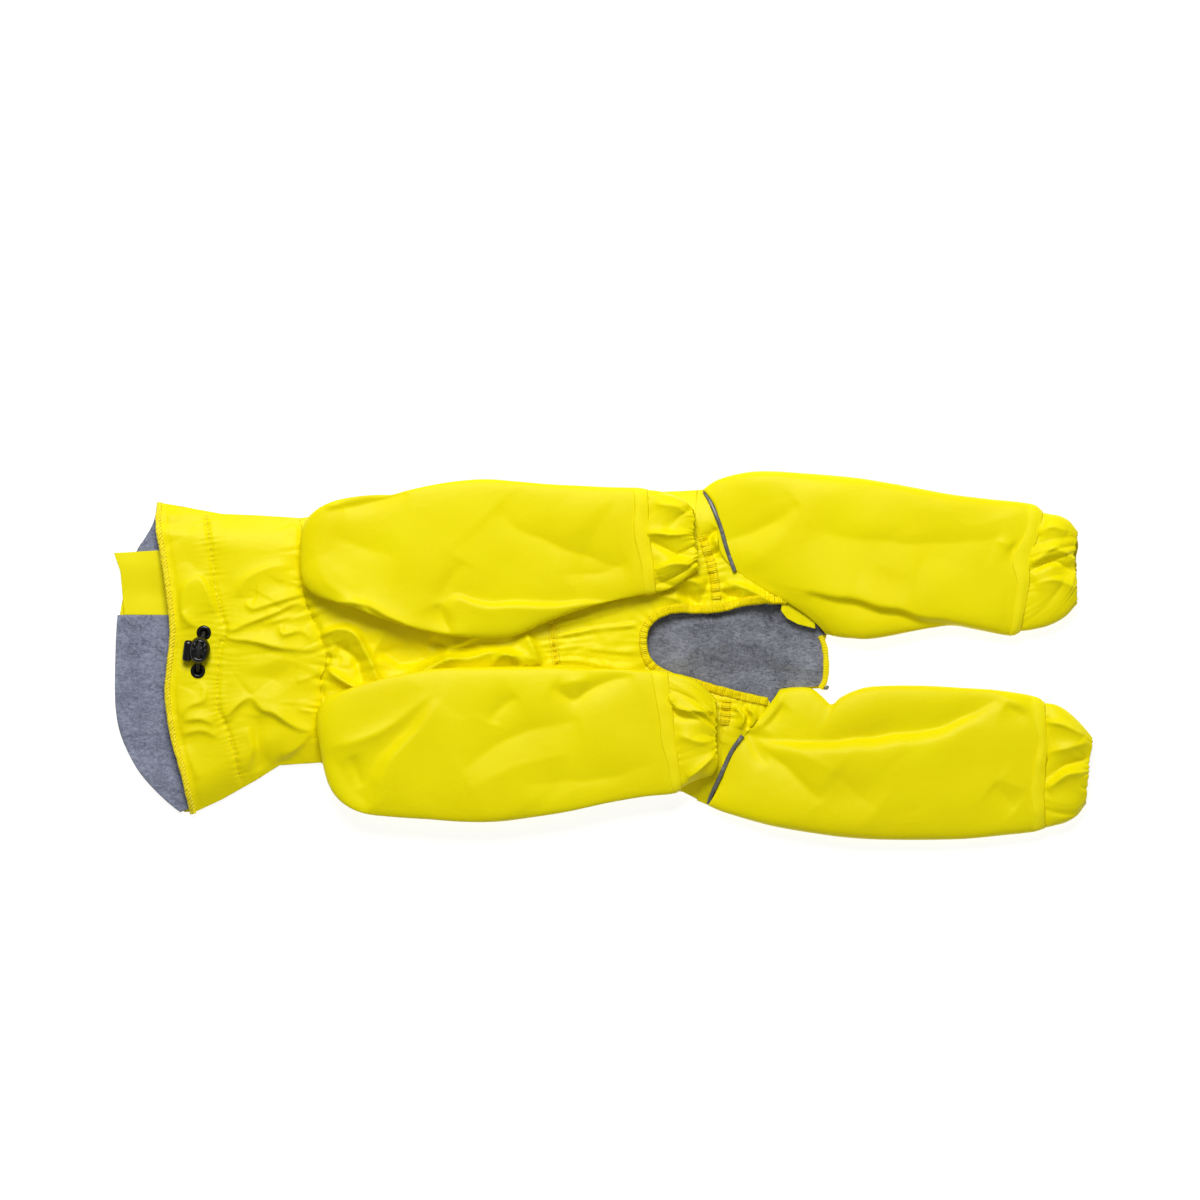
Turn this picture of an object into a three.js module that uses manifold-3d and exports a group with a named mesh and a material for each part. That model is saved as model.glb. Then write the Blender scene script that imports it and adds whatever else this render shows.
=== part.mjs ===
// Dog raincoat lying flat, belly side up, neck at -X and hind legs at +X.
// Millimetres, +Z up. z = 0 is the surface it rests on, x = y = 0 is the middle of its outline.
import * as THREE from "three";
import loadManifold from "manifold-3d";

const manifold = await loadManifold();
manifold.setup();

// Cloth and fit
const shellCloth = 1.2;
const fleece = 1.6;
const seamGap = 0.3;
const edgeFade = 26;
const liningInset = 5;
// Above and below every piece of cloth, and outside its outline, for the cuts
const cutLow = -5;
const cutHigh = 60;
const cutWide = 130;
const liningReach = 125;

// Heights of the layers above the surface
const liningBase = shellCloth + seamGap;
const liningTop = liningBase + fleece;
const sideSeamTop = liningBase + shellCloth;
const bellyTop = 11.4;
const waistTop = 9.8;
const collarTop = 12.2;

// Colours read from the photo
const yellow = 0xf0e614;
const warmYellow = 0xf7e916;
const fleeceGrey = 0x8a8fa3;
const pipingGrey = 0x6c6f74;
const blackPlastic = 0x1e2024;
const gunmetal = 0x3a3a3c;

// Side edges of the body seen from above, one row per station along it
const bodySides = [
  { x: -214, top: 95, bottom: -73 },
  { x: -195, top: 98, bottom: -75 },
  { x: -179, top: 103, bottom: -91 },
  { x: -140, top: 107, bottom: -101 },
  { x: -98, top: 110, bottom: -105 },
  { x: -28, top: 112, bottom: -103 },
  { x: 28, top: 114, bottom: -96 },
  { x: 56, top: 115, bottom: -95.5 },
  { x: 72, top: 116, bottom: -104 },
  { x: 80, top: 119, bottom: -107 },
  { x: 170, top: 119, bottom: -107 },
];

// Side edges of the collar, in the same way
const collarSides = [
  { x: -318, top: 107, bottom: -112.5 },
  { x: -311, top: 107, bottom: -112.5 },
  { x: -292, top: 104, bottom: -112.5 },
  { x: -287.5, top: 103, bottom: -111.5 },
  { x: -266, top: 99, bottom: -101.5 },
  { x: -242, top: 98, bottom: -88 },
  { x: -225.5, top: 97, bottom: -77.5 },
  { x: -211, top: 96, bottom: -76.5 },
  { x: -188, top: 96, bottom: -75.5 },
];

// Edges of the front legs and their cuffs that face the middle of the chest
const legInsideEdges = [
  { x: -214, top: 44, bottom: -20 },
  { x: -200, top: 36, bottom: -25 },
  { x: -162, top: 32, bottom: -29 },
  { x: -144, top: 24, bottom: -25 },
  { x: -112, top: 15, bottom: -13 },
  { x: -84, top: 12, bottom: -9 },
  { x: -56, top: 14, bottom: -9 },
  { x: -28, top: 26, bottom: -8.5 },
  { x: 0, top: 36.5, bottom: -10 },
  { x: 34, top: 43.5, bottom: -10.5 },
  { x: 52, top: 49, bottom: -12 },
  { x: 66, top: 60, bottom: -16 },
  { x: 72, top: 130, bottom: -24 },
  { x: 84, top: 130, bottom: -58 },
  { x: 88, top: 130, bottom: -130 },
];

// Seam lines, each from its upper end in the photo to its lower end
const neckSeam = [
  [-211, 96], [-210, 84], [-208, 43.5], [-201, 22.5], [-196.5, 14], [-192.5, -3],
  [-196.5, -19], [-196, -36], [-197.5, -49], [-195, -62.5], [-196, -75.5],
];
const collarRim = [
  [-311, 107], [-311.5, 91.5], [-308, 70], [-305, 50], [-302.5, 30], [-301.5, 14],
  [-304, -11], [-305, -29], [-301, -57], [-293.5, -83.5], [-287.5, -111.5],
];
const backRim = [
  [-311, 107], [-314, 93], [-320, 82], [-326, 72.5], [-334.5, 49], [-339.5, 24], [-341, -19],
  [-340, -42], [-335.5, -60], [-325, -80.5], [-311.5, -96.5], [-295, -110.5], [-287.5, -111.5],
];
const channelSeam = [
  [-277, 99], [-272, 66], [-270, 47], [-265.5, 27.5], [-262.5, 15.5], [-267.5, 0],
  [-268, -35], [-260.5, -55], [-255.5, -73.5], [-252, -90],
];
const openingEdge = [
  [130, 36.5], [111.5, 36.5], [97.5, 34.5], [83.5, 31], [69.5, 30], [55.5, 30.5], [45, 28.5],
  [36.5, 23.5], [32, 16], [31.5, 6], [34, -2], [40, -8.5], [49.5, -13], [62.5, -16.5],
  [80, -22], [101, -27.5], [117, -31],
];
const tailEdge = [[156, 13.5], [159, 5], [160, -8], [159, -18], [156, -23.5]];
const flankSeamUpper = [[70, 84], [74, 72], [78, 60], [80, 49], [81, 37.5]];
const flankSeamLower = [[88.3, -29], [87.5, -38], [86.4, -47]];
// The flank seams go on under the hind legs and the front cuffs
const flankUpperStart = [[67, cutWide], [66, 96]];
const flankUpperEnd = [81.5, 20];
const flankLowerStart = [88.5, -14];
const flankLowerEnd = [[84, -60], [70, -90], [64, -cutWide]];
// Where the opening's edge goes on under the hind legs
const openingCorners = [[126.5, 38.4], [126.5, 0], [118.6, -31.9]];
const openingTail = { x: 150, top: 36.5, bottom: -31 };

// Bindings and strips sewn on a panel
const bindingWidth = 5.4;
const bindingHeight = 2.4;
const bandRoundness = 0.7;
const bindingLap = 1;
const bindingEnds = { top: 122, bottom: 112 };
const upperFlankStrip = [[71, 83], [74.6, 72], [78, 60], [80, 49], [80.8, 41]];
const lowerFlankStrip = [[88, -33.5], [87.4, -40], [86.6, -47]];
const chestStrip = [[-35, 22], [-33, 9], [-31, -5]];
const elasticStrips = {
  flank_elastic_upper: { line: upperFlankStrip, pieces: 10, width: 4.6, height: 1.2 },
  flank_elastic_lower: { line: lowerFlankStrip, pieces: 6, width: 4.6, height: 1.2 },
  chest_elastic: { line: chestStrip, pieces: 6, width: 3, height: 0.8 },
};
const tailHem = { shift: -3.6, width: 4.4, height: 2.2, pieces: 16 };
const tailLoop = { x: 157, y: -27.5, outer: 3.4, inner: 1.7, height: 1.4 };
const pipingRadius = 1.4;
const pipingEnds = { upper: 56, lower: -54 };

// Corner of cloth at the hind leg's inner side, and the two linings and the tab of the back collar
const facingFreeEdge = [[126.6, 33.5], [126.4, 30.5], [130.2, 25.6], [138, 22.2], [148.6, 18.6]];
const facingAlongLeg = { fromX: 131, toX: 152, aboveY: 16 };
const facingTop = 10.3;
const facingSlope = 0.5;
const collarLiningLimits = { lower: [-120, 26], upper: [64, 110], x: [-345, -190] };
const tabOutline = [[-341.5, 71.5], [-270, 75.5], [-266, 27.5], [-334.5, 28], [-337, 58.5]];
const tabLap = { from: 58, to: 63.4 };

// Folds of the chest between the front legs: a line, its half width and its height (a valley is negative)
const chestFolds = [
  { x1: -196, y1: 8, x2: -176, y2: 18, width: 7, height: 2.6 },
  { x1: -172, y1: 15, x2: -157, y2: -10, width: 6, height: 2.2 },
  { x1: -158, y1: 15, x2: -124, y2: 13, width: 6, height: -2.2 },
  { x1: -124, y1: 5, x2: -148, y2: -18, width: 6, height: -2.4 },
  { x1: -156, y1: -26, x2: -116, y2: -4, width: 5, height: 2.6 },
  { x1: -116, y1: -3, x2: -70, y2: 1.5, width: 4, height: 2.4 },
  { x1: -70, y1: 1.5, x2: -44, y2: -5, width: 4, height: 2 },
  { x1: -108, y1: 8, x2: -78, y2: 8, width: 4, height: -1.8 },
  { x1: -52, y1: 16, x2: -45, y2: -3, width: 5, height: 1.8 },
  { x1: 48, y1: 46, x2: 63, y2: 40, width: 4, height: -2.2 },
  { x1: 36, y1: 38, x2: 52, y2: 47, width: 5, height: 1.8 },
  { x1: 80, y1: 70, x2: 90, y2: 78, width: 6, height: -2 },
  { x1: 88, y1: 50, x2: 108, y2: 44, width: 5, height: 1.8 },
  { x1: 90, y1: -36, x2: 98, y2: -48, width: 4, height: -1.8 },
  { x1: 100, y1: -34, x2: 104, y2: -46, width: 4, height: 1.8 },
];
// The lower front cuff presses the edge of the opening down
const pressedEdge = { x1: 36, y1: -10, x2: 76, y2: -22, width: 13, height: -4 };
// Gathers of the chest panel spread from its elastic strip to the opening
const chestGathers = {
  fromX: -34,
  toX: 26,
  fadeFromX: 18,
  riseShare: 0.25,
  lowEdge: [-6, -14],
  highEdge: [24, 42],
  count: 7,
  height: 1.1,
};
const waistGathers = { count: 15, height: 0.7, reach: 34, fromY: -75, span: 170 };
// A fold keeps this share of its height at its two ends
const foldEndShare = 0.45;
const clearOfLegs = 7;
const clearOfCollarSide = 10;
const collarWaistReach = 50;
const channelGroove = { depth: 0.8, halfWidth: 2.5 };
const calmUnderLock = { x: 9, y: 17 };
const flatNearNeck = { fromX: -216, share: 0.4 };
const liningWave = { sideFrom: 4, sideTo: 20, startX: [20, 50], endX: [132, 148], height: 0.45, length: 9 };
const collarFolds = [
  { x1: -262, y1: 60, x2: -214, y2: 44, width: 6, height: -1.6 },
  { x1: -262, y1: 24, x2: -204, y2: 32, width: 6, height: -1.8 },
  { x1: -262, y1: -6, x2: -200, y2: -8, width: 5, height: -1.4 },
  { x1: -258, y1: -34, x2: -202, y2: -30, width: 6, height: 1.4 },
  { x1: -252, y1: -62, x2: -204, y2: -44, width: 7, height: -1.8 },
  { x1: -300, y1: 40, x2: -272, y2: 44, width: 6, height: -1 },
  { x1: -298, y1: -40, x2: -270, y2: -36, width: 6, height: -1 },
];

// Folds of the legs
const frontUpperFolds = [
  { x1: -192, y1: 99, x2: -149, y2: 110, width: 5, height: -2 },
  { x1: -89, y1: 116, x2: -14, y2: 76, width: 8, height: -1.8 },
  { x1: -113, y1: 36, x2: -103, y2: 43, width: 5, height: -1.8 },
  { x1: -103, y1: 43, x2: 0, y2: 38, width: 6, height: 2 },
  { x1: -114, y1: 34, x2: -96, y2: 71, width: 9, height: -1.6 },
];
const frontLowerFolds = [
  { x1: -32, y1: -24, x2: -6, y2: -26, width: 6, height: -2 },
  { x1: -6, y1: -25, x2: 15, y2: -15, width: 5, height: -1.6 },
  { x1: -117, y1: -26, x2: -170, y2: -64, width: 7, height: 1.8 },
  { x1: -116, y1: -33, x2: -151, y2: -87, width: 8, height: -2 },
  { x1: -53, y1: -102, x2: 22, y2: -76, width: 8, height: -1.6 },
  { x1: -71, y1: -74, x2: 37, y2: -45, width: 9, height: -1.4 },
];
const hindUpperFolds = [
  { x1: 141, y1: 106, x2: 118, y2: 84, width: 7, height: -2 },
  { x1: 118, y1: 84, x2: 92, y2: 70, width: 6, height: -1.8 },
  { x1: 148, y1: 43, x2: 243, y2: 22, width: 6, height: -2.2 },
  { x1: 140, y1: 87, x2: 251, y2: 80, width: 12, height: 1.6 },
];
const hindLowerFolds = [
  { x1: 105, y1: -57, x2: 211, y2: -55, width: 6, height: 2.2 },
  { x1: 211, y1: -55, x2: 278, y2: -31, width: 6, height: 2 },
  { x1: 120, y1: -49, x2: 222, y2: -44, width: 6, height: -2.2 },
  { x1: 103, y1: -58, x2: 147, y2: -96, width: 7, height: -2 },
  { x1: 103, y1: -58, x2: 166, y2: -123, width: 7, height: -1.6 },
];

// Front legs. The first rows turn up out of the armhole: "top" is the wall away from the chest
const frontUpperRows = [
  { xTop: -205, zTop: 11.9, xBottom: -112, zBottom: 11.9, outer: 96, inner: 44, skew: 0 },
  { xTop: -209, zTop: 15.5, xBottom: -111.6, zBottom: 12, outer: 99, inner: 41, skew: 0 },
  { xTop: -210.3, zTop: 19, xBottom: -111, zBottom: 12.1, outer: 102, inner: 39, skew: 0 },
  { xTop: -208, zTop: 23, xBottom: -110, zBottom: 12.1, outer: 106, inner: 37, skew: 0 },
  { xTop: -201, zTop: 26.4, xBottom: -108, zBottom: 12.1, outer: 110, inner: 35, skew: 0 },
  { xTop: -186, zTop: 28, xBottom: -106, zBottom: 12.1, outer: 112, inner: 31, skew: 0 },
  { xTop: -166, zTop: 28, xBottom: -102, zBottom: 12.1, outer: 112, inner: 24, skew: 0 },
  { xTop: -142, zTop: 28, xBottom: -96, zBottom: 12.1, outer: 117, inner: 18, skew: 0 },
  { xTop: -116, zTop: 28, xBottom: -88, zBottom: 12.1, outer: 121, inner: 13.5, skew: 0 },
  { xTop: -88, zTop: 28, xBottom: -74, zBottom: 12.1, outer: 123, inner: 12, skew: 0 },
  { xTop: -62, zTop: 28, xBottom: -56, zBottom: 12.1, outer: 121.5, inner: 14, skew: 0 },
  { xTop: -38, zTop: 27.6, xBottom: -36, zBottom: 12.1, outer: 119.5, inner: 23, skew: 2 },
  { xTop: -14, zTop: 27, xBottom: -14, zBottom: 12.1, outer: 118.5, inner: 32.5, skew: -4 },
  { xTop: 8, zTop: 26.2, xBottom: 8, zBottom: 12.1, outer: 117.5, inner: 38.5, skew: -7 },
  { xTop: 26, zTop: 25.4, xBottom: 26, zBottom: 12.1, outer: 117, inner: 42, skew: -8 },
];
const frontLowerRows = [
  { xTop: -192, zTop: 11.9, xBottom: -112, zBottom: 11.9, outer: -97, inner: -34, skew: 14 },
  { xTop: -195, zTop: 15.5, xBottom: -111.6, zBottom: 12, outer: -101, inner: -31, skew: 14 },
  { xTop: -196.3, zTop: 19, xBottom: -111, zBottom: 12.1, outer: -105, inner: -28, skew: 14 },
  { xTop: -194, zTop: 23, xBottom: -110, zBottom: 12.1, outer: -109, inner: -25, skew: 13 },
  { xTop: -187, zTop: 26.4, xBottom: -108, zBottom: 12.1, outer: -112, inner: -22, skew: 11 },
  { xTop: -174, zTop: 28, xBottom: -105, zBottom: 12.1, outer: -113, inner: -18, skew: 8 },
  { xTop: -156, zTop: 28, xBottom: -100, zBottom: 12.1, outer: -114, inner: -13.5, skew: 5 },
  { xTop: -134, zTop: 28, xBottom: -93, zBottom: 12.1, outer: -115, inner: -10, skew: 3 },
  { xTop: -108, zTop: 28, xBottom: -82, zBottom: 12.1, outer: -116.5, inner: -8.5, skew: 2 },
  { xTop: -80, zTop: 28, xBottom: -68, zBottom: 12.1, outer: -116.5, inner: -8, skew: 2 },
  { xTop: -52, zTop: 28, xBottom: -48, zBottom: 12.1, outer: -113.5, inner: -8, skew: 3 },
  { xTop: -26, zTop: 27.6, xBottom: -26, zBottom: 12.1, outer: -109.5, inner: -8, skew: 5 },
  { xTop: 0, zTop: 27, xBottom: 0, zBottom: 12.1, outer: -103.5, inner: -9, skew: 8 },
  { xTop: 24, zTop: 26.2, xBottom: 24, zBottom: 12.1, outer: -99, inner: -9.8, skew: 12 },
  { xTop: 42, zTop: 25.4, xBottom: 42, zBottom: 12.1, outer: -96.8, inner: -10.4, skew: 16 },
];

// Hind legs lie on the surface; "bow" pulls the middle of a section toward the neck
const hindUpperRows = [
  { xOuter: 71.5, outer: 116, xInner: 157.5, inner: 14.5, bow: -27, height: 12 },
  { xOuter: 80, outer: 122, xInner: 160, inner: 14, bow: -24, height: 14 },
  { xOuter: 92, outer: 126, xInner: 164, inner: 13, bow: -20, height: 16.5 },
  { xOuter: 106, outer: 128.5, xInner: 170, inner: 12, bow: -15, height: 19 },
  { xOuter: 122, outer: 128.7, xInner: 177, inner: 11.5, bow: -10, height: 21 },
  { xOuter: 140, outer: 127.5, xInner: 185, inner: 11, bow: -6, height: 22 },
  { xOuter: 160, outer: 126, xInner: 195, inner: 12, bow: -3, height: 22 },
  { xOuter: 180, outer: 124, xInner: 206, inner: 14, bow: -1, height: 21.5 },
  { xOuter: 202, outer: 120.5, xInner: 218, inner: 16.5, bow: 0, height: 21 },
  { xOuter: 224, outer: 116.5, xInner: 232, inner: 19, bow: 0, height: 20 },
  { xOuter: 246, outer: 112.5, xInner: 247, inner: 20.5, bow: 0, height: 19 },
  { xOuter: 270, outer: 109.5, xInner: 264, inner: 17.5, bow: 0, height: 18 },
  { xOuter: 300, outer: 106, xInner: 286, inner: 13.5, bow: 0, height: 17 },
];
const hindLowerRows = [
  { xOuter: 75, outer: -105.5, xInner: 125, inner: -24, bow: -6, height: 12 },
  { xOuter: 84, outer: -109.5, xInner: 135, inner: -22.6, bow: -8, height: 14.5 },
  { xOuter: 95, outer: -113, xInner: 147, inner: -23.2, bow: -9, height: 17 },
  { xOuter: 107, outer: -116.5, xInner: 155.5, inner: -29.5, bow: -7, height: 19 },
  { xOuter: 120, outer: -119.8, xInner: 161.5, inner: -34.5, bow: -6, height: 20.5 },
  { xOuter: 134, outer: -122.5, xInner: 168, inner: -29.5, bow: -5, height: 21.5 },
  { xOuter: 150, outer: -125, xInner: 176, inner: -25.5, bow: -3, height: 22 },
  { xOuter: 168, outer: -127.5, xInner: 186, inner: -22.5, bow: -1, height: 22 },
  { xOuter: 188, outer: -129, xInner: 199, inner: -21.5, bow: 0, height: 21.5 },
  { xOuter: 210, outer: -129.5, xInner: 214, inner: -21.3, bow: 0, height: 21 },
  { xOuter: 232, outer: -129.5, xInner: 233, inner: -21.7, bow: 0, height: 20 },
  { xOuter: 256, outer: -128.8, xInner: 254, inner: -23, bow: 0, height: 19 },
  { xOuter: 280, outer: -126.5, xInner: 277, inner: -24.5, bow: 0, height: 18 },
  { xOuter: 302, outer: -124, xInner: 301.5, inner: -28.5, bow: 0, height: 17 },
];

// Tape bands, one row for each edge of the band
const tapes = {
  front_tape_upper: [
    { x: 26.3, skew: -8, outer: 117.3, inner: 41.7, base: 12, top: 25.7 },
    { x: 31, skew: -7, outer: 116.8, inner: 42.3, base: 12, top: 25.5 },
    { x: 35.4, skew: -6, outer: 116, inner: 43.2, base: 12, top: 24.6 },
  ],
  front_tape_lower: [
    { x: 42.3, skew: 16, outer: -97, inner: -10.2, base: 12, top: 25.7 },
    { x: 47, skew: 13, outer: -96, inner: -10.6, base: 12, top: 25.5 },
    { x: 51.5, skew: 10, outer: -93, inner: -11.6, base: 12, top: 24.6 },
  ],
  hind_tape_upper: [
    { x: 293.3, skew: 14, outer: 106.2, inner: 13.3, base: 0, top: 17.3 },
    { x: 297.5, skew: 15, outer: 104.5, inner: 14, base: 0, top: 17 },
    { x: 301.5, skew: 16, outer: 100.5, inner: 16, base: 0, top: 16 },
  ],
  hind_tape_lower: [
    { x: 302.1, skew: 0.5, outer: -124.2, inner: -28.3, base: 0, top: 17.3 },
    { x: 306.8, skew: 0, outer: -123, inner: -30, base: 0, top: 17 },
    { x: 310.8, skew: 0, outer: -121.5, inner: -33, base: 0, top: 16 },
  ],
};

// Gathered cuffs, one row per section from the tape to the mouth
const cuffWaves = 12;
const cuffs = {
  front_cuff_upper: [
    { x: 35.8, skew: -6, outer: 115.4, inner: 43.6, base: 12, top: 24, wave: 0.5 },
    { x: 44, skew: -3, outer: 114, inner: 45.5, base: 12, top: 25, wave: 1.1 },
    { x: 53, skew: -2, outer: 111, inner: 50, base: 12, top: 24.5, wave: 1.4 },
    { x: 61, skew: -2, outer: 107, inner: 56, base: 12, top: 22.5, wave: 1.5 },
    { x: 66.5, skew: -3, outer: 101.5, inner: 61, base: 12, top: 20.5, wave: 1.2 },
  ],
  front_cuff_lower: [
    { x: 51.9, skew: 10, outer: -92.4, inner: -12, base: 12, top: 24, wave: 0.5 },
    { x: 60, skew: 6, outer: -89, inner: -14, base: 12, top: 25, wave: 1.1 },
    { x: 68, skew: 4, outer: -86, inner: -17.5, base: 12, top: 24.5, wave: 1.4 },
    { x: 76, skew: 4, outer: -83.5, inner: -24, base: 12, top: 22.5, wave: 1.5 },
    { x: 81, skew: 1, outer: -79, inner: -31, base: 12, top: 20.5, wave: 1.2 },
  ],
  hind_cuff_upper: [
    { x: 301.9, skew: 15.8, outer: 99.8, inner: 16.6, base: 0, top: 15.5, wave: 0.5 },
    { x: 309, skew: 12, outer: 98.8, inner: 18, base: 0, top: 17, wave: 1.1 },
    { x: 318, skew: 8, outer: 97, inner: 21, base: 0, top: 17, wave: 1.4 },
    { x: 327, skew: 4, outer: 93, inner: 27, base: 0, top: 15.5, wave: 1.5 },
    { x: 333.5, skew: 1, outer: 87, inner: 36, base: 0, top: 13, wave: 1.2 },
  ],
  hind_cuff_lower: [
    { x: 311.2, skew: 0, outer: -121, inner: -33.6, base: 0, top: 15.5, wave: 0.5 },
    { x: 318, skew: 0, outer: -119.5, inner: -35, base: 0, top: 17, wave: 1.1 },
    { x: 326, skew: 0, outer: -117, inner: -39, base: 0, top: 17, wave: 1.4 },
    { x: 334, skew: -1, outer: -112.5, inner: -46.5, base: 0, top: 15.5, wave: 1.5 },
    { x: 341, skew: -2, outer: -104, inner: -56, base: 0, top: 13, wave: 1.2 },
  ],
};

// Drawcord, cord lock and eyelets
const lockCentre = { x: -280.8, y: 3.2 };
const lockSize = { x: 15.4, y: 19.4, z: 12 };
const lockButton = { width: 6, length: 14.5, height: 7.5 };
const lockTurn = -0.12;
const lockRoundness = 1.15;
const lockCutRadius = 16;
const buttonCorner = 3;
const buttonPlace = { inside: 2.6, lift: 2.2 };
const buttonClearance = { x: 1.06, y: 1.04, z: 1.2 };
const eyelets = { eyelet_upper: [-278, 15.6], eyelet_lower: [-282.2, -11.2] };
const eyeletOuter = 5.2;
const eyeletInner = 2.5;
const eyeletHeight = 1.1;
const eyeletRim = { inset: 0.3, height: 0.7 };
const cordRadius = 1.3;
const cordClearance = 0.35;
const cordSides = 8;
const cordSteps = 24;
// Way of the cord from the upper eyelet, over the lock, to the lower one; heights are above the lock's foot
const cordFromUpper = [[0, 0, -0.9], [-0.1, -0.5, 2.5], [-1, -5.6, 7.5]];
const cordOverLock = [[0.9, 4.4, 11.8], [0, 0, 12.8], [-0.6, -5.4, 11.6]];
const cordToLower = [[0.5, 5, 7], [0.1, 0.5, 2.5], [0, 0, -0.9]];

const ringPoints = 16;
const cuffRingPoints = cuffWaves * 3;
const sectionPower = 0.5;
// A front leg takes its folds where its walls stand this far apart
const openWallHeight = 14;
// A lying tube is widest at this share of its height; below the level its underside is left plain
const widestShare = 0.42;
const upperShare = 0.58;
const undersideLevel = -0.3;
const bowPower = 3;
// Steps in from a side edge, close together where the cloth turns over
const sideSteps = [0, 3, 10, 24];
const collarSideSteps = [0, 3, 10];
const collarMiddleInset = 22;

const group = new THREE.Group();

function addPart(name, geometry, colour, roughness, metalness = 0) {
  geometry.computeVertexNormals();
  const material = new THREE.MeshStandardMaterial({ color: colour, roughness, metalness });
  const mesh = new THREE.Mesh(geometry, material);
  mesh.name = name;
  group.add(mesh);
}

// Values between the rows of a table, straight from one row to the next
function fromTable(rows, x, column) {
  if (x <= rows[0].x) return rows[0][column];
  for (let i = 1; i < rows.length; i += 1) {
    if (x <= rows[i].x) {
      const share = (x - rows[i - 1].x) / (rows[i].x - rows[i - 1].x);
      return THREE.MathUtils.lerp(rows[i - 1][column], rows[i][column], share);
    }
  }
  return rows[rows.length - 1][column];
}

function smoothLine(points, pieces) {
  const curve = new THREE.SplineCurve(points.map(([x, y]) => new THREE.Vector2(x, y)));
  return curve.getPoints(pieces).map((p) => [p.x, p.y]);
}

function shiftLine(points, dx, dy) {
  return points.map(([x, y]) => [x + dx, y + dy]);
}

// A closed solid from points and triangles, turned so that its faces look outward
function solidFrom(points, triangles) {
  let volume = 0;
  for (const [a, b, c] of triangles) {
    volume += points[a].dot(new THREE.Vector3().crossVectors(points[b], points[c]));
  }
  const index = triangles.flatMap(([a, b, c]) => (volume > 0 ? [a, b, c] : [a, c, b]));
  const geometry = new THREE.BufferGeometry();
  geometry.setAttribute("position", new THREE.Float32BufferAttribute(points.flatMap((p) => p.toArray()), 3));
  geometry.setIndex(index);
  return geometry;
}

// A wall between two grids of points, closed along its four edges
function wallBetween(top, bottom) {
  const rows = top.length;
  const columns = top[0].length;
  const points = [...top.flat(), ...bottom.flat()];
  const under = rows * columns;
  const triangles = [];
  const quad = (a, b, c, d) => triangles.push([a, b, c], [a, c, d]);
  for (let i = 0; i < rows - 1; i += 1) {
    for (let j = 0; j < columns - 1; j += 1) {
      const a = i * columns + j;
      quad(a, a + columns, a + columns + 1, a + 1);
      quad(under + a, under + a + 1, under + a + columns + 1, under + a + columns);
    }
  }
  for (let i = 0; i < rows - 1; i += 1) {
    const first = i * columns;
    const last = first + columns - 1;
    quad(first, under + first, under + first + columns, first + columns);
    quad(last, last + columns, under + last + columns, under + last);
  }
  for (let j = 0; j < columns - 1; j += 1) {
    const last = (rows - 1) * columns + j;
    quad(j, j + 1, under + j + 1, under + j);
    quad(last, under + last, under + last + 1, last + 1);
  }
  return solidFrom(points, triangles);
}

// A tube wall between outer and inner rings, closed at both mouths
function tubeBetween(outerRings, innerRings) {
  const rings = outerRings.length;
  const around = outerRings[0].length;
  const points = [...outerRings.flat(), ...innerRings.flat()];
  const inside = rings * around;
  const triangles = [];
  const quad = (a, b, c, d) => triangles.push([a, b, c], [a, c, d]);
  for (let k = 0; k < around; k += 1) {
    const next = (k + 1) % around;
    for (let i = 0; i < rings - 1; i += 1) {
      const a = i * around;
      quad(a + k, a + around + k, a + around + next, a + next);
      quad(inside + a + k, inside + a + next, inside + a + around + next, inside + a + around + k);
    }
    const end = (rings - 1) * around;
    quad(k, next, inside + next, inside + k);
    quad(end + k, inside + end + k, inside + end + next, end + next);
  }
  return solidFrom(points, triangles);
}

function toManifold(geometry) {
  const position = geometry.getAttribute("position");
  return new manifold.Manifold(new manifold.Mesh({
    numProp: 3,
    vertProperties: new Float32Array(position.array),
    triVerts: new Uint32Array(geometry.getIndex().array),
  }));
}

function fromManifold(body) {
  const mesh = body.getMesh();
  const geometry = new THREE.BufferGeometry();
  geometry.setAttribute("position", new THREE.BufferAttribute(new Float32Array(mesh.vertProperties), 3));
  geometry.setIndex([...mesh.triVerts]);
  return geometry;
}

function prism(outline, low, high) {
  return new manifold.CrossSection([outline], "Positive").extrude(high - low).translate([0, 0, low]);
}

function counterClockwise(outline) {
  const area = THREE.ShapeUtils.area(outline.map(([x, y]) => new THREE.Vector2(x, y)));
  return area > 0 ? outline : [...outline].reverse();
}

// A cut along a faceted edge can leave a sliver beside the piece itself
function largestPiece(body) {
  return body.decompose().reduce((best, piece) => (piece.volume() > best.volume() ? piece : best));
}

function cutTo(geometry, outline, holes = []) {
  let body = toManifold(geometry).intersect(prism(counterClockwise(outline), cutLow, cutHigh));
  for (const hole of holes) {
    body = body.subtract(prism(counterClockwise(hole), cutLow, cutHigh));
  }
  return fromManifold(largestPiece(body));
}

// Height of one fold at a place: full along its line, fading across it and past its ends
function foldHeight(fold, x, y) {
  const dx = fold.x2 - fold.x1;
  const dy = fold.y2 - fold.y1;
  const along = THREE.MathUtils.clamp(((x - fold.x1) * dx + (y - fold.y1) * dy) / (dx * dx + dy * dy), 0, 1);
  const away = Math.hypot(x - fold.x1 - along * dx, y - fold.y1 - along * dy);
  const taper = foldEndShare + (1 - foldEndShare) * Math.sin(Math.PI * along);
  return fold.height * taper * Math.exp(-((away / fold.width) ** 2));
}

function allFolds(folds, x, y) {
  return folds.reduce((sum, fold) => sum + foldHeight(fold, x, y), 0);
}

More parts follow.
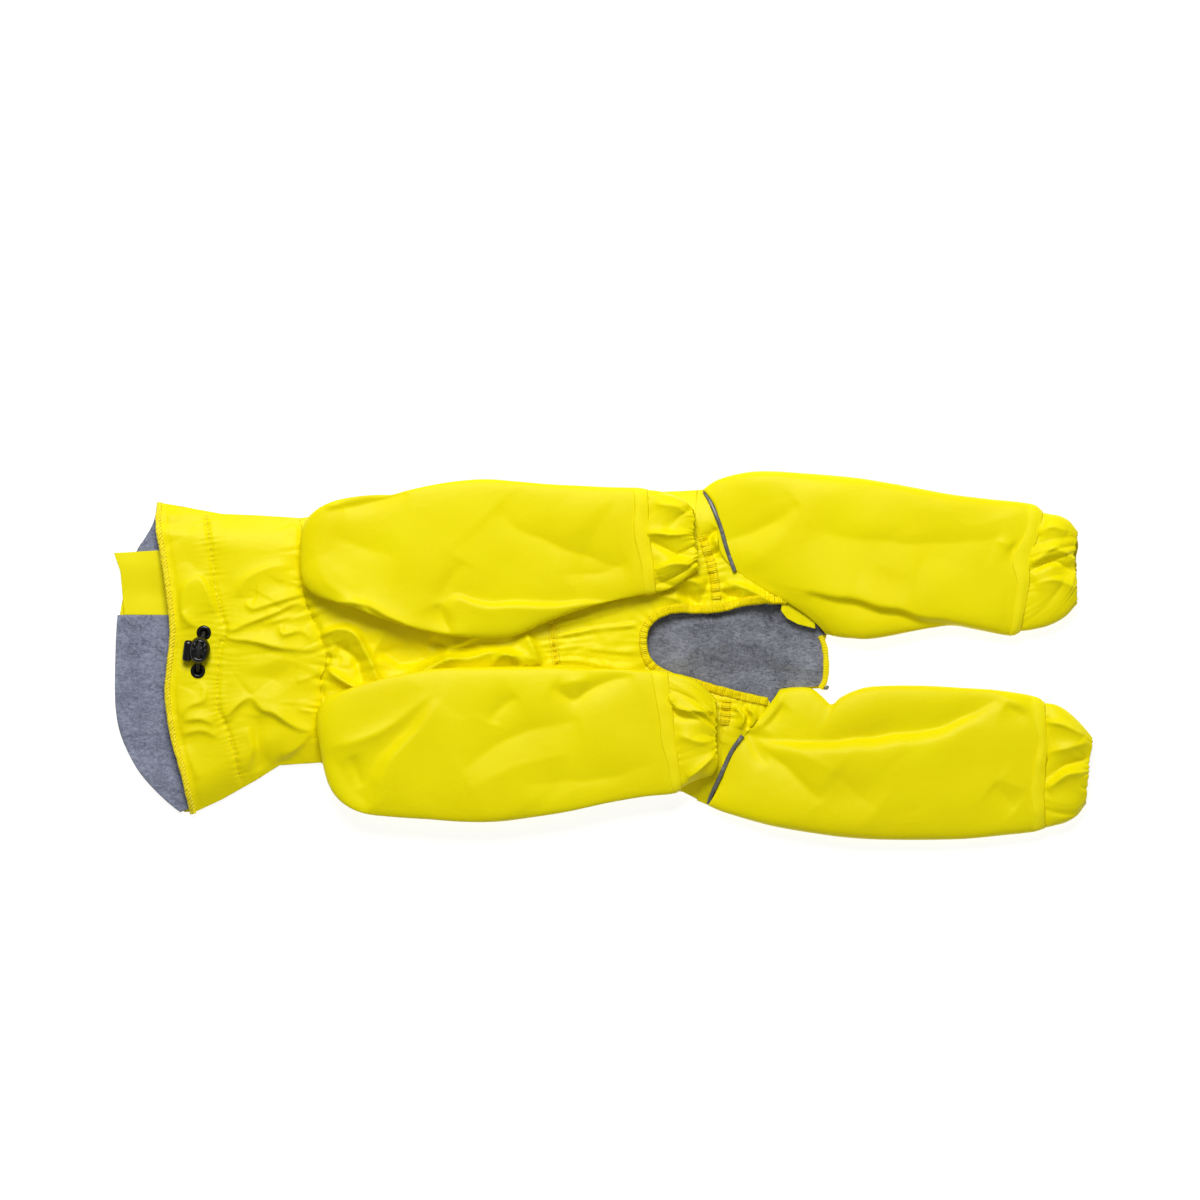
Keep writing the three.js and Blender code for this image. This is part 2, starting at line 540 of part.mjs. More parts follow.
function distanceToLine(line, x, y) {
  let nearest = Infinity;
  for (let i = 1; i < line.length; i += 1) {
    const [ax, ay] = line[i - 1];
    const [bx, by] = line[i];
    const length = (bx - ax) ** 2 + (by - ay) ** 2;
    const share = THREE.MathUtils.clamp(((x - ax) * (bx - ax) + (y - ay) * (by - ay)) / length, 0, 1);
    nearest = Math.min(nearest, Math.hypot(x - ax - share * (bx - ax), y - ay - share * (by - ay)));
  }
  return nearest;
}

function risenFromEdge(distance, edgeHeight, middleHeight) {
  const share = THREE.MathUtils.clamp(distance / edgeFade, 0, 1);
  return edgeHeight + (middleHeight - edgeHeight) * Math.sin((share * Math.PI) / 2);
}

function fromSides(rows, x, y) {
  return Math.min(fromTable(rows, x, "top") - y, y - fromTable(rows, x, "bottom"));
}

function waistWave(x, y) {
  const near = Math.max(0, 1 - distanceToLine(neckSeam, x, y) / waistGathers.reach);
  const phase = ((y - waistGathers.fromY) / waistGathers.span) * waistGathers.count * Math.PI * 2;
  return near * waistGathers.height * Math.sin(phase);
}

// Top of the belly side of the body
function bellyHeight(x, y) {
  const fromSide = fromSides(bodySides, x, y);
  const nearWaist = Math.max(0, 1 - distanceToLine(neckSeam, x, y) / waistGathers.reach);
  const middle = THREE.MathUtils.lerp(bellyTop, waistTop, nearWaist);
  const plain = risenFromEdge(fromSide, sideSeamTop, middle);
  const fromLegs = Math.min(
    fromTable(legInsideEdges, x, "top") - y,
    y - fromTable(legInsideEdges, x, "bottom"),
    fromSide,
  );
  const open = THREE.MathUtils.smoothstep(fromLegs, 0, clearOfLegs);
  const gatherShare = (x - chestGathers.fromX) / (chestGathers.toX - chestGathers.fromX);
  const risen = THREE.MathUtils.smoothstep(gatherShare, 0, chestGathers.riseShare);
  const faded = 1 - THREE.MathUtils.smoothstep(x, chestGathers.fadeFromX, chestGathers.toX);
  const inGathers = risen * faded;
  const lowEdge = THREE.MathUtils.lerp(...chestGathers.lowEdge, gatherShare);
  const highEdge = THREE.MathUtils.lerp(...chestGathers.highEdge, gatherShare);
  const across = (y - lowEdge) / (highEdge - lowEdge);
  const gathers = inGathers * chestGathers.height * Math.sin(across * chestGathers.count * Math.PI * 2);
  const pressed = foldHeight(pressedEdge, x, y);
  return plain + pressed + open * (allFolds(chestFolds, x, y) + gathers + waistWave(x, y));
}

// Top of the belly side of the collar
function collarHeight(x, y) {
  const fromSide = fromSides(collarSides, x, y);
  const nearWaist = THREE.MathUtils.clamp(1 - distanceToLine(neckSeam, x, y) / collarWaistReach, 0, 1);
  const middle = THREE.MathUtils.lerp(collarTop, waistTop, nearWaist);
  const open = THREE.MathUtils.smoothstep(fromSide, 0, clearOfCollarSide);
  const fromChannel = distanceToLine(channelSeam, x, y) / channelGroove.halfWidth;
  const channel = -channelGroove.depth * Math.exp(-(fromChannel ** 2));
  const awayX = (x - lockCentre.x) / calmUnderLock.x;
  const awayY = (y - lockCentre.y) / calmUnderLock.y;
  const calm = 1 - Math.exp(-(awayX ** 2) - awayY ** 2);
  const flat = x > flatNearNeck.fromX ? flatNearNeck.share : 1;
  const relief = allFolds(collarFolds, x, y) + channel + waistWave(x, y);
  return risenFromEdge(fromSide, sideSeamTop, middle) + open * calm * flat * relief;
}

// Top of the back's fleece, which waves a little where the opening shows it
function liningHeight(x, y) {
  const { sideFrom, sideTo, startX, endX, height, length } = liningWave;
  const inside = THREE.MathUtils.smoothstep(fromSides(bodySides, x, y), sideFrom, sideTo);
  const open = THREE.MathUtils.smoothstep(x, ...startX) * (1 - THREE.MathUtils.smoothstep(x, ...endX));
  return liningTop + inside * open * height * Math.sin((x + 2 * y) / length);
}

function linesBetween(low, high, count) {
  return Array.from({ length: count + 1 }, (_, i) => low + ((high - low) * i) / count);
}

// Grid of points on a cloth's upper side; its lines along the cloth follow both side edges
function clothGrid(xs, ysAt, heightAt) {
  return xs.map((x) => ysAt(x).map((y) => new THREE.Vector3(x, y, heightAt(x, y))));
}

function clothOver(grid, thickness, flatBase = null) {
  const bottom = grid.map((row) => row.map((point) => {
    const z = flatBase === null ? point.z - thickness : flatBase;
    return new THREE.Vector3(point.x, point.y, z);
  }));
  return wallBetween(grid, bottom);
}

function heightInTriangle([a, b, c], x, y) {
  const area = (b.x - a.x) * (c.y - a.y) - (c.x - a.x) * (b.y - a.y);
  const shareB = ((x - a.x) * (c.y - a.y) - (c.x - a.x) * (y - a.y)) / area;
  const shareC = ((b.x - a.x) * (y - a.y) - (x - a.x) * (b.y - a.y)) / area;
  const inside = shareB >= -1e-9 && shareC >= -1e-9 && shareB + shareC <= 1 + 1e-9;
  return inside ? a.z + shareB * (b.z - a.z) + shareC * (c.z - a.z) : null;
}

// Height of the faceted cloth itself, so that what lies on it keeps its gap
function heightOnGrid(grid, x, y) {
  for (let i = 0; i < grid.length - 1; i += 1) {
    if (x < grid[i][0].x || x > grid[i + 1][0].x) continue;
    for (let j = 0; j < grid[i].length - 1; j += 1) {
      const a = grid[i][j];
      const b = grid[i + 1][j];
      const c = grid[i + 1][j + 1];
      const d = grid[i][j + 1];
      const height = heightInTriangle([a, b, c], x, y) ?? heightInTriangle([a, c, d], x, y);
      if (height !== null) return height;
    }
  }
  return sideSeamTop;
}

// A band on a cloth's upper side that follows a line; a round top and the cloth's own form below
function bandOn(line, width, height, heightAt, lift = seamGap, across = 2) {
  const top = [];
  const bottom = [];
  line.forEach(([x, y], i) => {
    const [ax, ay] = line[Math.max(0, i - 1)];
    const [bx, by] = line[Math.min(line.length - 1, i + 1)];
    const length = Math.hypot(bx - ax, by - ay);
    const side = [-(by - ay) / length, (bx - ax) / length];
    const topRow = [];
    const bottomRow = [];
    for (let j = 0; j <= across; j += 1) {
      const offset = (j / across - 0.5) * width;
      const px = x + side[0] * offset;
      const py = y + side[1] * offset;
      const base = heightAt(px, py) + lift;
      const round = 1 - bandRoundness * ((2 * offset) / width) ** 2;
      topRow.push(new THREE.Vector3(px, py, base + height * round));
      bottomRow.push(new THREE.Vector3(px, py, base));
    }
    top.push(topRow);
    bottom.push(bottomRow);
  });
  return wallBetween(top, bottom);
}

function rounded(value) {
  return Math.sign(value) * Math.abs(value) ** sectionPower;
}

// Ring of a front leg: its top and bottom walls may lean apart, which makes the turn out of the armhole
function leaningRing(row, folds, inset) {
  const points = [];
  const halfHeight = Math.hypot(row.xTop - row.xBottom, row.zTop - row.zBottom) / 2;
  for (let k = 0; k < ringPoints; k += 1) {
    const angle = (k / ringPoints) * Math.PI * 2;
    const side = rounded(Math.cos(angle));
    const up = rounded(Math.sin(angle));
    const halfWidth = (row.outer - row.inner) / 2;
    const y = (row.outer + row.inner) / 2 + side * (halfWidth - Math.sign(halfWidth) * inset);
    const reach = up * (1 - inset / halfHeight);
    const x = (row.xTop + row.xBottom) / 2 + (reach * (row.xTop - row.xBottom)) / 2 + (row.skew * side) / 2;
    const z = (row.zTop + row.zBottom) / 2 + (reach * (row.zTop - row.zBottom)) / 2;
    const steep = THREE.MathUtils.clamp((row.zTop - row.zBottom) / openWallHeight, 0, 1);
    const lift = up > 0 ? up * steep * allFolds(folds, x, y) : 0;
    points.push(new THREE.Vector3(x, y, z + lift));
  }
  return points;
}

function frontLeg(rows, folds) {
  const outerRings = rows.map((row) => leaningRing(row, folds, 0));
  const innerRings = rows.map((row) => leaningRing(row, folds, shellCloth));
  return tubeBetween(outerRings, innerRings);
}

// Ring of a tube that lies on something flat: its underside is flat
function lyingRing(row, folds, inset, around, waves) {
  const points = [];
  const centre = row.base + (row.top - row.base) * widestShare;
  const halfHeight = (row.top - row.base) * upperShare;
  const halfWidth = (row.outer - row.inner) / 2;
  for (let k = 0; k < around; k += 1) {
    const angle = (k / around) * Math.PI * 2;
    const side = rounded(Math.cos(angle));
    const up = rounded(Math.sin(angle));
    const y = (row.outer + row.inner) / 2 + side * (halfWidth - Math.sign(halfWidth) * inset);
    const x = (row.xOuter + row.xInner) / 2 + (side * (row.xOuter - row.xInner)) / 2
      + row.bow * (1 - side * side) ** bowPower;
    const wave = waves * row.wave * Math.cos(angle * cuffWaves);
    const fold = up > 0 ? up * allFolds(folds, x, y) : 0;
    const relief = up > undersideLevel ? wave + fold : 0;
    const z = Math.max(row.base + inset, centre + up * (halfHeight - inset) + relief);
    points.push(new THREE.Vector3(x, y, z));
  }
  return points;
}

function lyingTube(rows, folds = [], around = ringPoints, waves = 0) {
  const full = rows.map((row) => ({
    base: 0,
    top: row.height,
    xOuter: row.x + row.skew / 2,
    xInner: row.x - row.skew / 2,
    bow: 0,
    wave: 0,
    ...row,
  }));
  const outerRings = full.map((row) => lyingRing(row, folds, 0, around, waves));
  const innerRings = full.map((row) => lyingRing(row, folds, shellCloth, around, waves));
  return tubeBetween(outerRings, innerRings);
}

// Line of a hind leg's first ring seen from above, from its outer end inward
function hipLine(row) {
  const line = [];
  for (let k = 0; k <= ringPoints / 2; k += 1) {
    const side = rounded(Math.cos((k / ringPoints) * Math.PI * 2));
    const x = (row.xOuter + row.xInner) / 2 + (side * (row.xOuter - row.xInner)) / 2
      + row.bow * (1 - side * side) ** bowPower;
    line.push([x, (row.outer + row.inner) / 2 + (side * (row.outer - row.inner)) / 2]);
  }
  return line;
}

const upperHip = hipLine(hindUpperRows[0]);
const lowerHip = hipLine(hindLowerRows[0]);
const upperSide = bodySides.filter((row) => row.x > -205 && row.x < 70).map((row) => [row.x, row.top]);
const lowerSide = bodySides.filter((row) => row.x > -190 && row.x < 70).map((row) => [row.x, row.bottom]);

// Outline of the back between the neck seam, its sides, the hind legs and the tail
function backOutline(inset) {
  const clearOfSide = (hip) => hip.filter(([x, y]) => Math.hypot(x - hip[0][0], y - hip[0][1]) >= 2 * inset);
  return [
    ...shiftLine(neckSeam.slice(1, -1), seamGap, 0).reverse(),
    ...shiftLine([neckSeam[0]], seamGap, -inset),
    ...shiftLine(upperSide, 0, -inset),
    ...shiftLine(clearOfSide(upperHip), -2 * seamGap - inset / 3, -seamGap - inset / 3),
    ...tailEdge,
    ...shiftLine(clearOfSide(lowerHip), -2 * seamGap - inset / 3, seamGap + inset / 3).reverse(),
    ...shiftLine(lowerSide, 0, inset).reverse(),
    ...shiftLine([neckSeam[neckSeam.length - 1]], seamGap, inset),
  ];
}

function insetOutline(outline, distance) {
  const section = new manifold.CrossSection([counterClockwise(outline)], "Positive");
  return section.offset(-distance, "Round", 2, 8).toPolygons()[0].map(([x, y]) => [x, y]);
}

function buildBack() {
  const shell = prism(counterClockwise(backOutline(0)), 0, shellCloth);
  addPart("back_shell", fromManifold(shell), yellow, 0.45);
  const ys = [-liningReach, ...linesBetween(-36, 44, 6), liningReach];
  const grid = clothGrid([-215, ...linesBetween(20, 165, 10)], () => ys, liningHeight);
  const lining = cutTo(clothOver(grid, fleece, liningBase), backOutline(liningInset));
  addPart("back_lining", lining, fleeceGrey, 0.95);
}

function armhole(rows) {
  return leaningRing(rows[0], [], shellCloth).map((p) => [p.x, p.y]);
}

const bellyStations = [
  ...linesBetween(-216, -40, 14),
  ...linesBetween(-30, 32, 4),
  ...linesBetween(44, 130, 8),
];
const bellyGrid = clothGrid(bellyStations, (x) => {
  const low = fromTable(bodySides, x, "bottom");
  const high = fromTable(bodySides, x, "top");
  const fromLow = sideSteps.map((step) => low + step);
  const fromHigh = sideSteps.map((step) => high - step).reverse();
  return [...fromLow, ...linesBetween(-38, 50, 15), ...fromHigh];
}, bellyHeight);
const onBelly = (x, y) => heightOnGrid(bellyGrid, x, y);

function buildBelly() {
  const belly = clothOver(bellyGrid, shellCloth);
  const opening = smoothLine(openingEdge, 40);
  const openRegion = [...opening, [openingTail.x, openingTail.bottom], [openingTail.x, openingTail.top]];
  const upper = shiftLine(upperHip.filter(([, y]) => y > 45), -3 * seamGap, -seamGap);
  const lower = shiftLine(lowerHip.filter(([, y]) => y < -35), -2 * seamGap, seamGap);
  const half = seamGap / 2;
  const seamUp = [...flankUpperStart, ...flankSeamUpper, flankUpperEnd];
  const seamDown = [flankLowerStart, ...flankSeamLower, ...flankLowerEnd];
  const front = [
    [neckSeam[neckSeam.length - 1][0], -cutWide],
    ...shiftLine(neckSeam, seamGap, 0).reverse(),
    [neckSeam[0][0], cutWide],
    ...shiftLine(seamUp, -half, 0),
    ...shiftLine(seamDown, -half, 0),
  ];
  const whole = [
    [-220, -cutWide],
    [-220, cutWide],
    [60, cutWide],
    ...upper,
    ...openingCorners,
    ...lower.reverse(),
    [60, -cutWide],
  ];
  const body = cutTo(belly, whole, [openRegion]);
  const holes = [armhole(frontUpperRows), armhole(frontLowerRows)];
  const flankUp = [...shiftLine(seamUp, half, 0), [140, flankUpperEnd[1]], [140, cutWide]];
  const flankDown = [...shiftLine(seamDown, half, 0), [140, -cutWide], [140, flankLowerStart[1]]];
  addPart("chest_panel", cutTo(body, front, holes), yellow, 0.45);
  addPart("flank_upper", cutTo(body, flankUp), yellow, 0.45);
  addPart("flank_lower", cutTo(body, flankDown), yellow, 0.45);
}

function buildBands() {
  const opening = smoothLine(openingEdge, 44);
  const outward = opening.map(([x, y], i) => {
    const [ax, ay] = opening[Math.max(0, i - 1)];
    const [bx, by] = opening[Math.min(opening.length - 1, i + 1)];
    const shift = (bindingWidth / 2 - bindingLap) / Math.hypot(bx - ax, by - ay);
    return [x + (by - ay) * shift, y - (bx - ax) * shift];
  });
  const binding = outward.filter(([x, y]) => x < (y < 0 ? bindingEnds.bottom : bindingEnds.top));
  addPart("belly_binding", bandOn(binding, bindingWidth, bindingHeight, onBelly), warmYellow, 0.5);
  for (const [name, strip] of Object.entries(elasticStrips)) {
    const line = smoothLine(strip.line, strip.pieces);
    addPart(name, bandOn(line, strip.width, strip.height, onBelly), warmYellow, 0.5);
  }
  const hem = shiftLine(smoothLine(tailEdge, tailHem.pieces), tailHem.shift, 0);
  addPart("tail_hem", bandOn(hem, tailHem.width, tailHem.height, liningHeight), warmYellow, 0.5);
}

function buildTailLoop() {
  const arc = new THREE.Shape();
  arc.absarc(0, 0, tailLoop.outer, -Math.PI * 0.75, Math.PI * 0.25, false);
  arc.absarc(0, 0, tailLoop.inner, Math.PI * 0.25, -Math.PI * 0.75, true);
  const settings = { depth: tailLoop.height, bevelEnabled: false, curveSegments: 12 };
  const loop = new THREE.ExtrudeGeometry(arc, settings);
  loop.translate(tailLoop.x, tailLoop.y, shellCloth + seamGap);
  addPart("tail_loop", loop, pipingGrey, 0.8);
}

function buildThighFacing() {
  const { fromX, toX, aboveY } = facingAlongLeg;
  const along = upperHip.filter(([x, y]) => x > fromX && x < toX && y > aboveY);
  const outline = [...facingFreeEdge, ...shiftLine(along, -seamGap, -seamGap).reverse()];
  const height = (x, y) => facingTop - facingSlope * distanceToLine(upperHip, x, y);
  const grid = clothGrid(linesBetween(120, 158, 10), () => linesBetween(10, 42, 8), height);
  addPart("thigh_facing", cutTo(clothOver(grid, shellCloth), outline), yellow, 0.45);
}

const collarGrid = clothGrid(linesBetween(-316, -190, 12), (x) => {
  const low = fromTable(collarSides, x, "bottom");
  const high = fromTable(collarSides, x, "top");
  const fromLow = collarSideSteps.map((step) => low + step);
  const fromHigh = collarSideSteps.map((step) => high - step).reverse();
  return [...fromLow, ...linesBetween(low + collarMiddleInset, high - collarMiddleInset, 16), ...fromHigh];
}, collarHeight);
const onCollar = (x, y) => heightOnGrid(collarGrid, x, y);

// Highest point of the collar's cloth under a round piece
function collarUnder(x, y, radius) {
  const places = [[x, y], ...circle(x, y, radius, 16), ...circle(x, y, radius / 2, 8)];
  return Math.max(...places.map(([px, py]) => onCollar(px, py)));
}

function buildCollar() {
  const front = [
    ...smoothLine(collarRim, 24),
    [collarRim[collarRim.length - 1][0], -cutWide],
    [neckSeam[neckSeam.length - 1][0], -cutWide],
    ...[...neckSeam].reverse(),
    [neckSeam[0][0], cutWide],
    [collarRim[0][0], cutWide],
  ];
  const holes = Object.values(eyelets).map(([x, y]) => circle(x, y, eyeletInner, 12));
  addPart("collar_front", cutTo(clothOver(collarGrid, shellCloth), front, holes), yellow, 0.45);
  const sides = collarSides.filter(({ x }) => x > -300 && x < -200);
  const back = [
    ...smoothLine(backRim, 30),
    ...sides.slice(1).map(({ x, bottom }) => [x, bottom]),
    ...[...neckSeam].reverse(),
    ...[...sides].reverse().map(({ x, top }) => [x, top]),
  ];
  addPart("collar_back_shell", fromManifold(prism(counterClockwise(back), 0, shellCloth)), yellow, 0.45);
  const between = [
    [-350, -120],
    [-300, -120],
    ...sides.map(({ x, bottom }) => [x, bottom + liningInset]),
    [-190, -70],
    [-190, 90],
    ...[...sides].reverse().map(({ x, top }) => [x, top - liningInset]),
    [-306, 98],
    [-312.5, 100],
    [-318, 120],
    [-350, 120],
  ];
  const inner = new manifold.CrossSection([counterClockwise(insetOutline(back, 1))], "Positive")
    .intersect(new manifold.CrossSection([counterClockwise(between)], "Positive"))
    .toPolygons()[0].map(([x, y]) => [x, y]);
  const slab = (limits) => clothOver(
    clothGrid(collarLiningLimits.x, () => limits, () => liningTop), fleece, liningBase);
  addPart("collar_lining_lower", cutTo(slab(collarLiningLimits.lower), inner), fleeceGrey, 0.95);
  addPart("collar_lining_upper", cutTo(slab(collarLiningLimits.upper), inner), fleeceGrey, 0.95);
}

// The tab lies between the two collar linings and laps over the upper one
function buildPlacketTab() {
  const risen = (y) => THREE.MathUtils.smoothstep(y, tabLap.from, tabLap.to);
  const lap = (x, y) => liningBase + shellCloth + (fleece + seamGap) * risen(y);
  const grid = clothGrid(linesBetween(-343, -264, 2), () => [26, 44, 58, 60, 61.8, 63.4, 70, 78], lap);
  addPart("placket_tab", cutTo(clothOver(grid, shellCloth), tabOutline), warmYellow, 0.45);
}

function circle(x, y, radius, count) {
  return Array.from({ length: count }, (_, k) => {
    const angle = (k / count) * Math.PI * 2;
    return [x + radius * Math.cos(angle), y + radius * Math.sin(angle)];
  });
}

// Piping lies on the hip seam, as far as the flank's elastic edge
function buildPiping() {
  const upper = upperHip.slice(1).filter(([, y]) => y > pipingEnds.upper);
  const lower = lowerHip.slice(1).filter(([, y]) => y < pipingEnds.lower);
  const lines = {
    piping_upper: shiftLine(smoothLine(upper, 16), 0, -2 * seamGap),
    piping_lower: shiftLine(smoothLine(lower, 16), 0, 2 * seamGap),
  };
  for (const [name, line] of Object.entries(lines)) {
    const seam = shiftLine(line, -pipingRadius - 4 * seamGap, 0);
    const band = bandOn(seam, 2 * pipingRadius, 2 * pipingRadius, onBelly, 2 * seamGap);
    addPart(name, band, pipingGrey, 0.4, 0.2);
  }
}

function cordPath(base) {
  const from = (x, y, steps) => steps.map(([dx, dy, dz]) => new THREE.Vector3(x + dx, y + dy, base + dz));
  return new THREE.CatmullRomCurve3([
    ...from(...eyelets.eyelet_upper, cordFromUpper),
    ...from(lockCentre.x, lockCentre.y, cordOverLock),
    ...from(...eyelets.eyelet_lower, cordToLower),
  ]);
}

function tubeAlong(path, radius, steps) {
  const section = new THREE.Shape(circle(0, 0, radius, cordSides).map(([x, y]) => new THREE.Vector2(x, y)));
  const geometry = new THREE.ExtrudeGeometry(section, { steps, extrudePath: path, curveSegments: 1 });
  return weld(geometry);
}

// Joins equal points, which the boolean cuts need
function weld(geometry) {
  const position = geometry.getAttribute("position");
  const seen = new Map();
  const points = [];
  const index = [];
  for (let i = 0; i < position.count; i += 1) {
    const point = new THREE.Vector3().fromBufferAttribute(position, i);
    const key = point.toArray().map((value) => value.toFixed(4)).join(",");
    if (!seen.has(key)) {
      seen.set(key, points.length);
      points.push(point);
    }
    index.push(seen.get(key));
  }
  const order = geometry.getIndex() ? [...geometry.getIndex().array].map((i) => index[i]) : index;
  const triangles = [];
  for (let i = 0; i < order.length; i += 3) {
    const [a, b, c] = order.slice(i, i + 3);
    if (a !== b && b !== c && a !== c) triangles.push([a, b, c]);
  }
  return solidFrom(points, triangles);
}

// Rounded outline of the button that shows beside the lock's body
function buttonOutline() {
  const outline = new THREE.Shape();
  const halfLength = lockButton.length / 2;
  const end = -lockButton.width + buttonCorner;
  outline.moveTo(0, halfLength);
  outline.lineTo(end, halfLength);
  outline.absarc(end, halfLength - buttonCorner, buttonCorner, Math.PI / 2, Math.PI, false);
  outline.absarc(end, buttonCorner - halfLength, buttonCorner, Math.PI, Math.PI * 1.5, false);
  outline.lineTo(0, -halfLength);
  return outline;
}

function buildCordLock() {
  const base = collarUnder(lockCentre.x, lockCentre.y, lockSize.y / 2) + seamGap;
  const middle = base + lockSize.z / 2;
  const path = cordPath(base);
  addPart("drawcord", tubeAlong(path, cordRadius, cordSteps), blackPlastic, 0.8);
  const ball = new THREE.SphereGeometry(0.5, 18, 10);
  ball.rotateX(Math.PI / 2);
  ball.scale(lockSize.x, lockSize.y, lockSize.z * lockRoundness);
  ball.rotateZ(lockTurn);
  ball.translate(lockCentre.x, lockCentre.y, middle);
  const bore = toManifold(tubeAlong(path, cordRadius + cordClearance, cordSteps));
  const above = prism(circle(lockCentre.x, lockCentre.y, lockCutRadius, 12), base, cutHigh);
  const body = toManifold(weld(ball)).intersect(above).subtract(bore);
  addPart("cord_lock_body", fromManifold(body), blackPlastic, 0.5);
  const settings = { depth: lockButton.height, bevelEnabled: false, curveSegments: 6 };
  const button = new THREE.ExtrudeGeometry(buttonOutline(), settings);
  button.rotateZ(lockTurn);
  const buttonX = lockCentre.x - lockSize.x / 2 + buttonPlace.inside;
  button.translate(buttonX, lockCentre.y, base + buttonPlace.lift);
  // The body, a little larger, is cut out of the button so that the button can slide in
  const clearance = toManifold(weld(ball))
    .translate([-lockCentre.x, -lockCentre.y, 0])
    .scale([buttonClearance.x, buttonClearance.y, buttonClearance.z])
    .translate([lockCentre.x, lockCentre.y, -middle * (buttonClearance.z - 1)]);
  const cut = toManifold(weld(button)).subtract(clearance);
  addPart("cord_lock_button", fromManifold(cut), blackPlastic, 0.5);
}

function buildEyelets() {
  const profile = [
    [eyeletInner, 0],
    [eyeletOuter, 0],
    [eyeletOuter - eyeletRim.inset, eyeletRim.height],
    [(eyeletOuter + eyeletInner) / 2, eyeletHeight],
    [eyeletInner, eyeletRim.height],
    [eyeletInner, 0],
  ].map(([r, z]) => new THREE.Vector2(r, z));
  for (const [name, [x, y]] of Object.entries(eyelets)) {
    const top = collarUnder(x, y, eyeletOuter) + seamGap;
    const ring = new THREE.LatheGeometry(profile, 16);
    ring.rotateX(Math.PI / 2);
    ring.translate(x, y, top);
    addPart(name, weld(ring), gunmetal, 0.35, 0.8);
  }
}

function buildLegs() {
  addPart("front_leg_upper", frontLeg(frontUpperRows, frontUpperFolds), yellow, 0.45);
  addPart("front_leg_lower", frontLeg(frontLowerRows, frontLowerFolds), yellow, 0.45);
  addPart("hind_leg_upper", lyingTube(hindUpperRows, hindUpperFolds), yellow, 0.45);
  addPart("hind_leg_lower", lyingTube(hindLowerRows, hindLowerFolds), yellow, 0.45);
  for (const [name, rows] of Object.entries(tapes)) {
    addPart(name, lyingTube(rows), warmYellow, 0.5);
  }
  for (const [name, rows] of Object.entries(cuffs)) {
    addPart(name, lyingTube(rows, [], cuffRingPoints, 1), yellow, 0.45);
  }
}

buildBack();
buildBelly();
buildBands();
buildTailLoop();
buildThighFacing();
buildCollar();
buildPlacketTab();
buildPiping();
buildCordLock();
buildEyelets();
buildLegs();

export default group;
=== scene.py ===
import math

import bmesh
import bpy
import numpy as np
from mathutils import Matrix, Vector


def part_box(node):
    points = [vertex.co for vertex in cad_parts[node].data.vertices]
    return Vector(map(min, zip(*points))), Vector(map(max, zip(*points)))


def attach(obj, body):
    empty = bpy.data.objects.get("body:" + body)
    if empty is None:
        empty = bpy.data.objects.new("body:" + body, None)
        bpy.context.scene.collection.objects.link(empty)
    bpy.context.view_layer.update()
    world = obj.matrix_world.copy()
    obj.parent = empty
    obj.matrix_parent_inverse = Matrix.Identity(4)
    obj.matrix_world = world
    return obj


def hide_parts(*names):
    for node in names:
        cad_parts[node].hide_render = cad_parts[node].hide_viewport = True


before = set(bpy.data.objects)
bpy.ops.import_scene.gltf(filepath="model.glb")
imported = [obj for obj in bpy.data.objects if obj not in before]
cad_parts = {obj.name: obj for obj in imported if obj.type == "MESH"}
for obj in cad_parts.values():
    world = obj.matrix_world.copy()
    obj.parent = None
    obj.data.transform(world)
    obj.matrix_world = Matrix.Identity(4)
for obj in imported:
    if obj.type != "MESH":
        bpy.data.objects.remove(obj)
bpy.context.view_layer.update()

mm = 0.001

# Camera, straight above as in the picture
shot = {"lens": 200, "across": 0.84, "level": 0.012, "centre": (-0.0007, 0.0385)}
cameraData = bpy.data.cameras.new("shotCamera")
cameraData.lens = shot["lens"]
cameraData.sensor_width = 36
cameraData.clip_end = 30
camera = bpy.data.objects.new("shotCamera", cameraData)
cameraHeight = shot["across"] * shot["lens"] / 36 + shot["level"]
camera.location = (*shot["centre"], cameraHeight)
bpy.context.scene.collection.objects.link(camera)
bpy.context.scene.camera = camera


def trace(*spots):  # places read off the picture in its pixels, as millimetres on the surface
    return [((px - 601) * 0.7, (655 - py) * 0.7) for px, py in spots]


def smoothstep(low, high, value):
    share = np.clip((value - low) / (high - low), 0, 1)
    return share * share * (3 - 2 * share)


def ripple(x, y, size, seed):  # soft uneven waves about that many millimetres long
    pick = np.random.default_rng(seed)
    total = np.zeros(np.shape(x))
    for turn, start, stretch in pick.uniform((0, 0, 0.7), (6.28, 6.28, 1.5), (7, 3)):
        total = total + np.sin((x * math.cos(turn) + y * math.sin(turn)) * 6.283 / (size * stretch) + start)
    return total / 4.5


def softLine(points, step=3.0):  # a smooth line, or smooth table rows, through the given ones
    points = np.array(points, float)
    ends = np.vstack([2 * points[0] - points[1], points, 2 * points[-1] - points[-2]])
    found = []
    for a, b, c, d in zip(ends, ends[1:], ends[2:], ends[3:]):
        count = max(1, round(float(np.linalg.norm(c - b)) / step))
        t = (np.arange(count) / count)[:, None]
        found.append(0.5 * (2 * b + (c - a) * t + (2 * a - 5 * b + 4 * c - d) * t**2 + (3 * b - a - 3 * c + d) * t**3))
    return np.vstack([*found, points[-1:]])


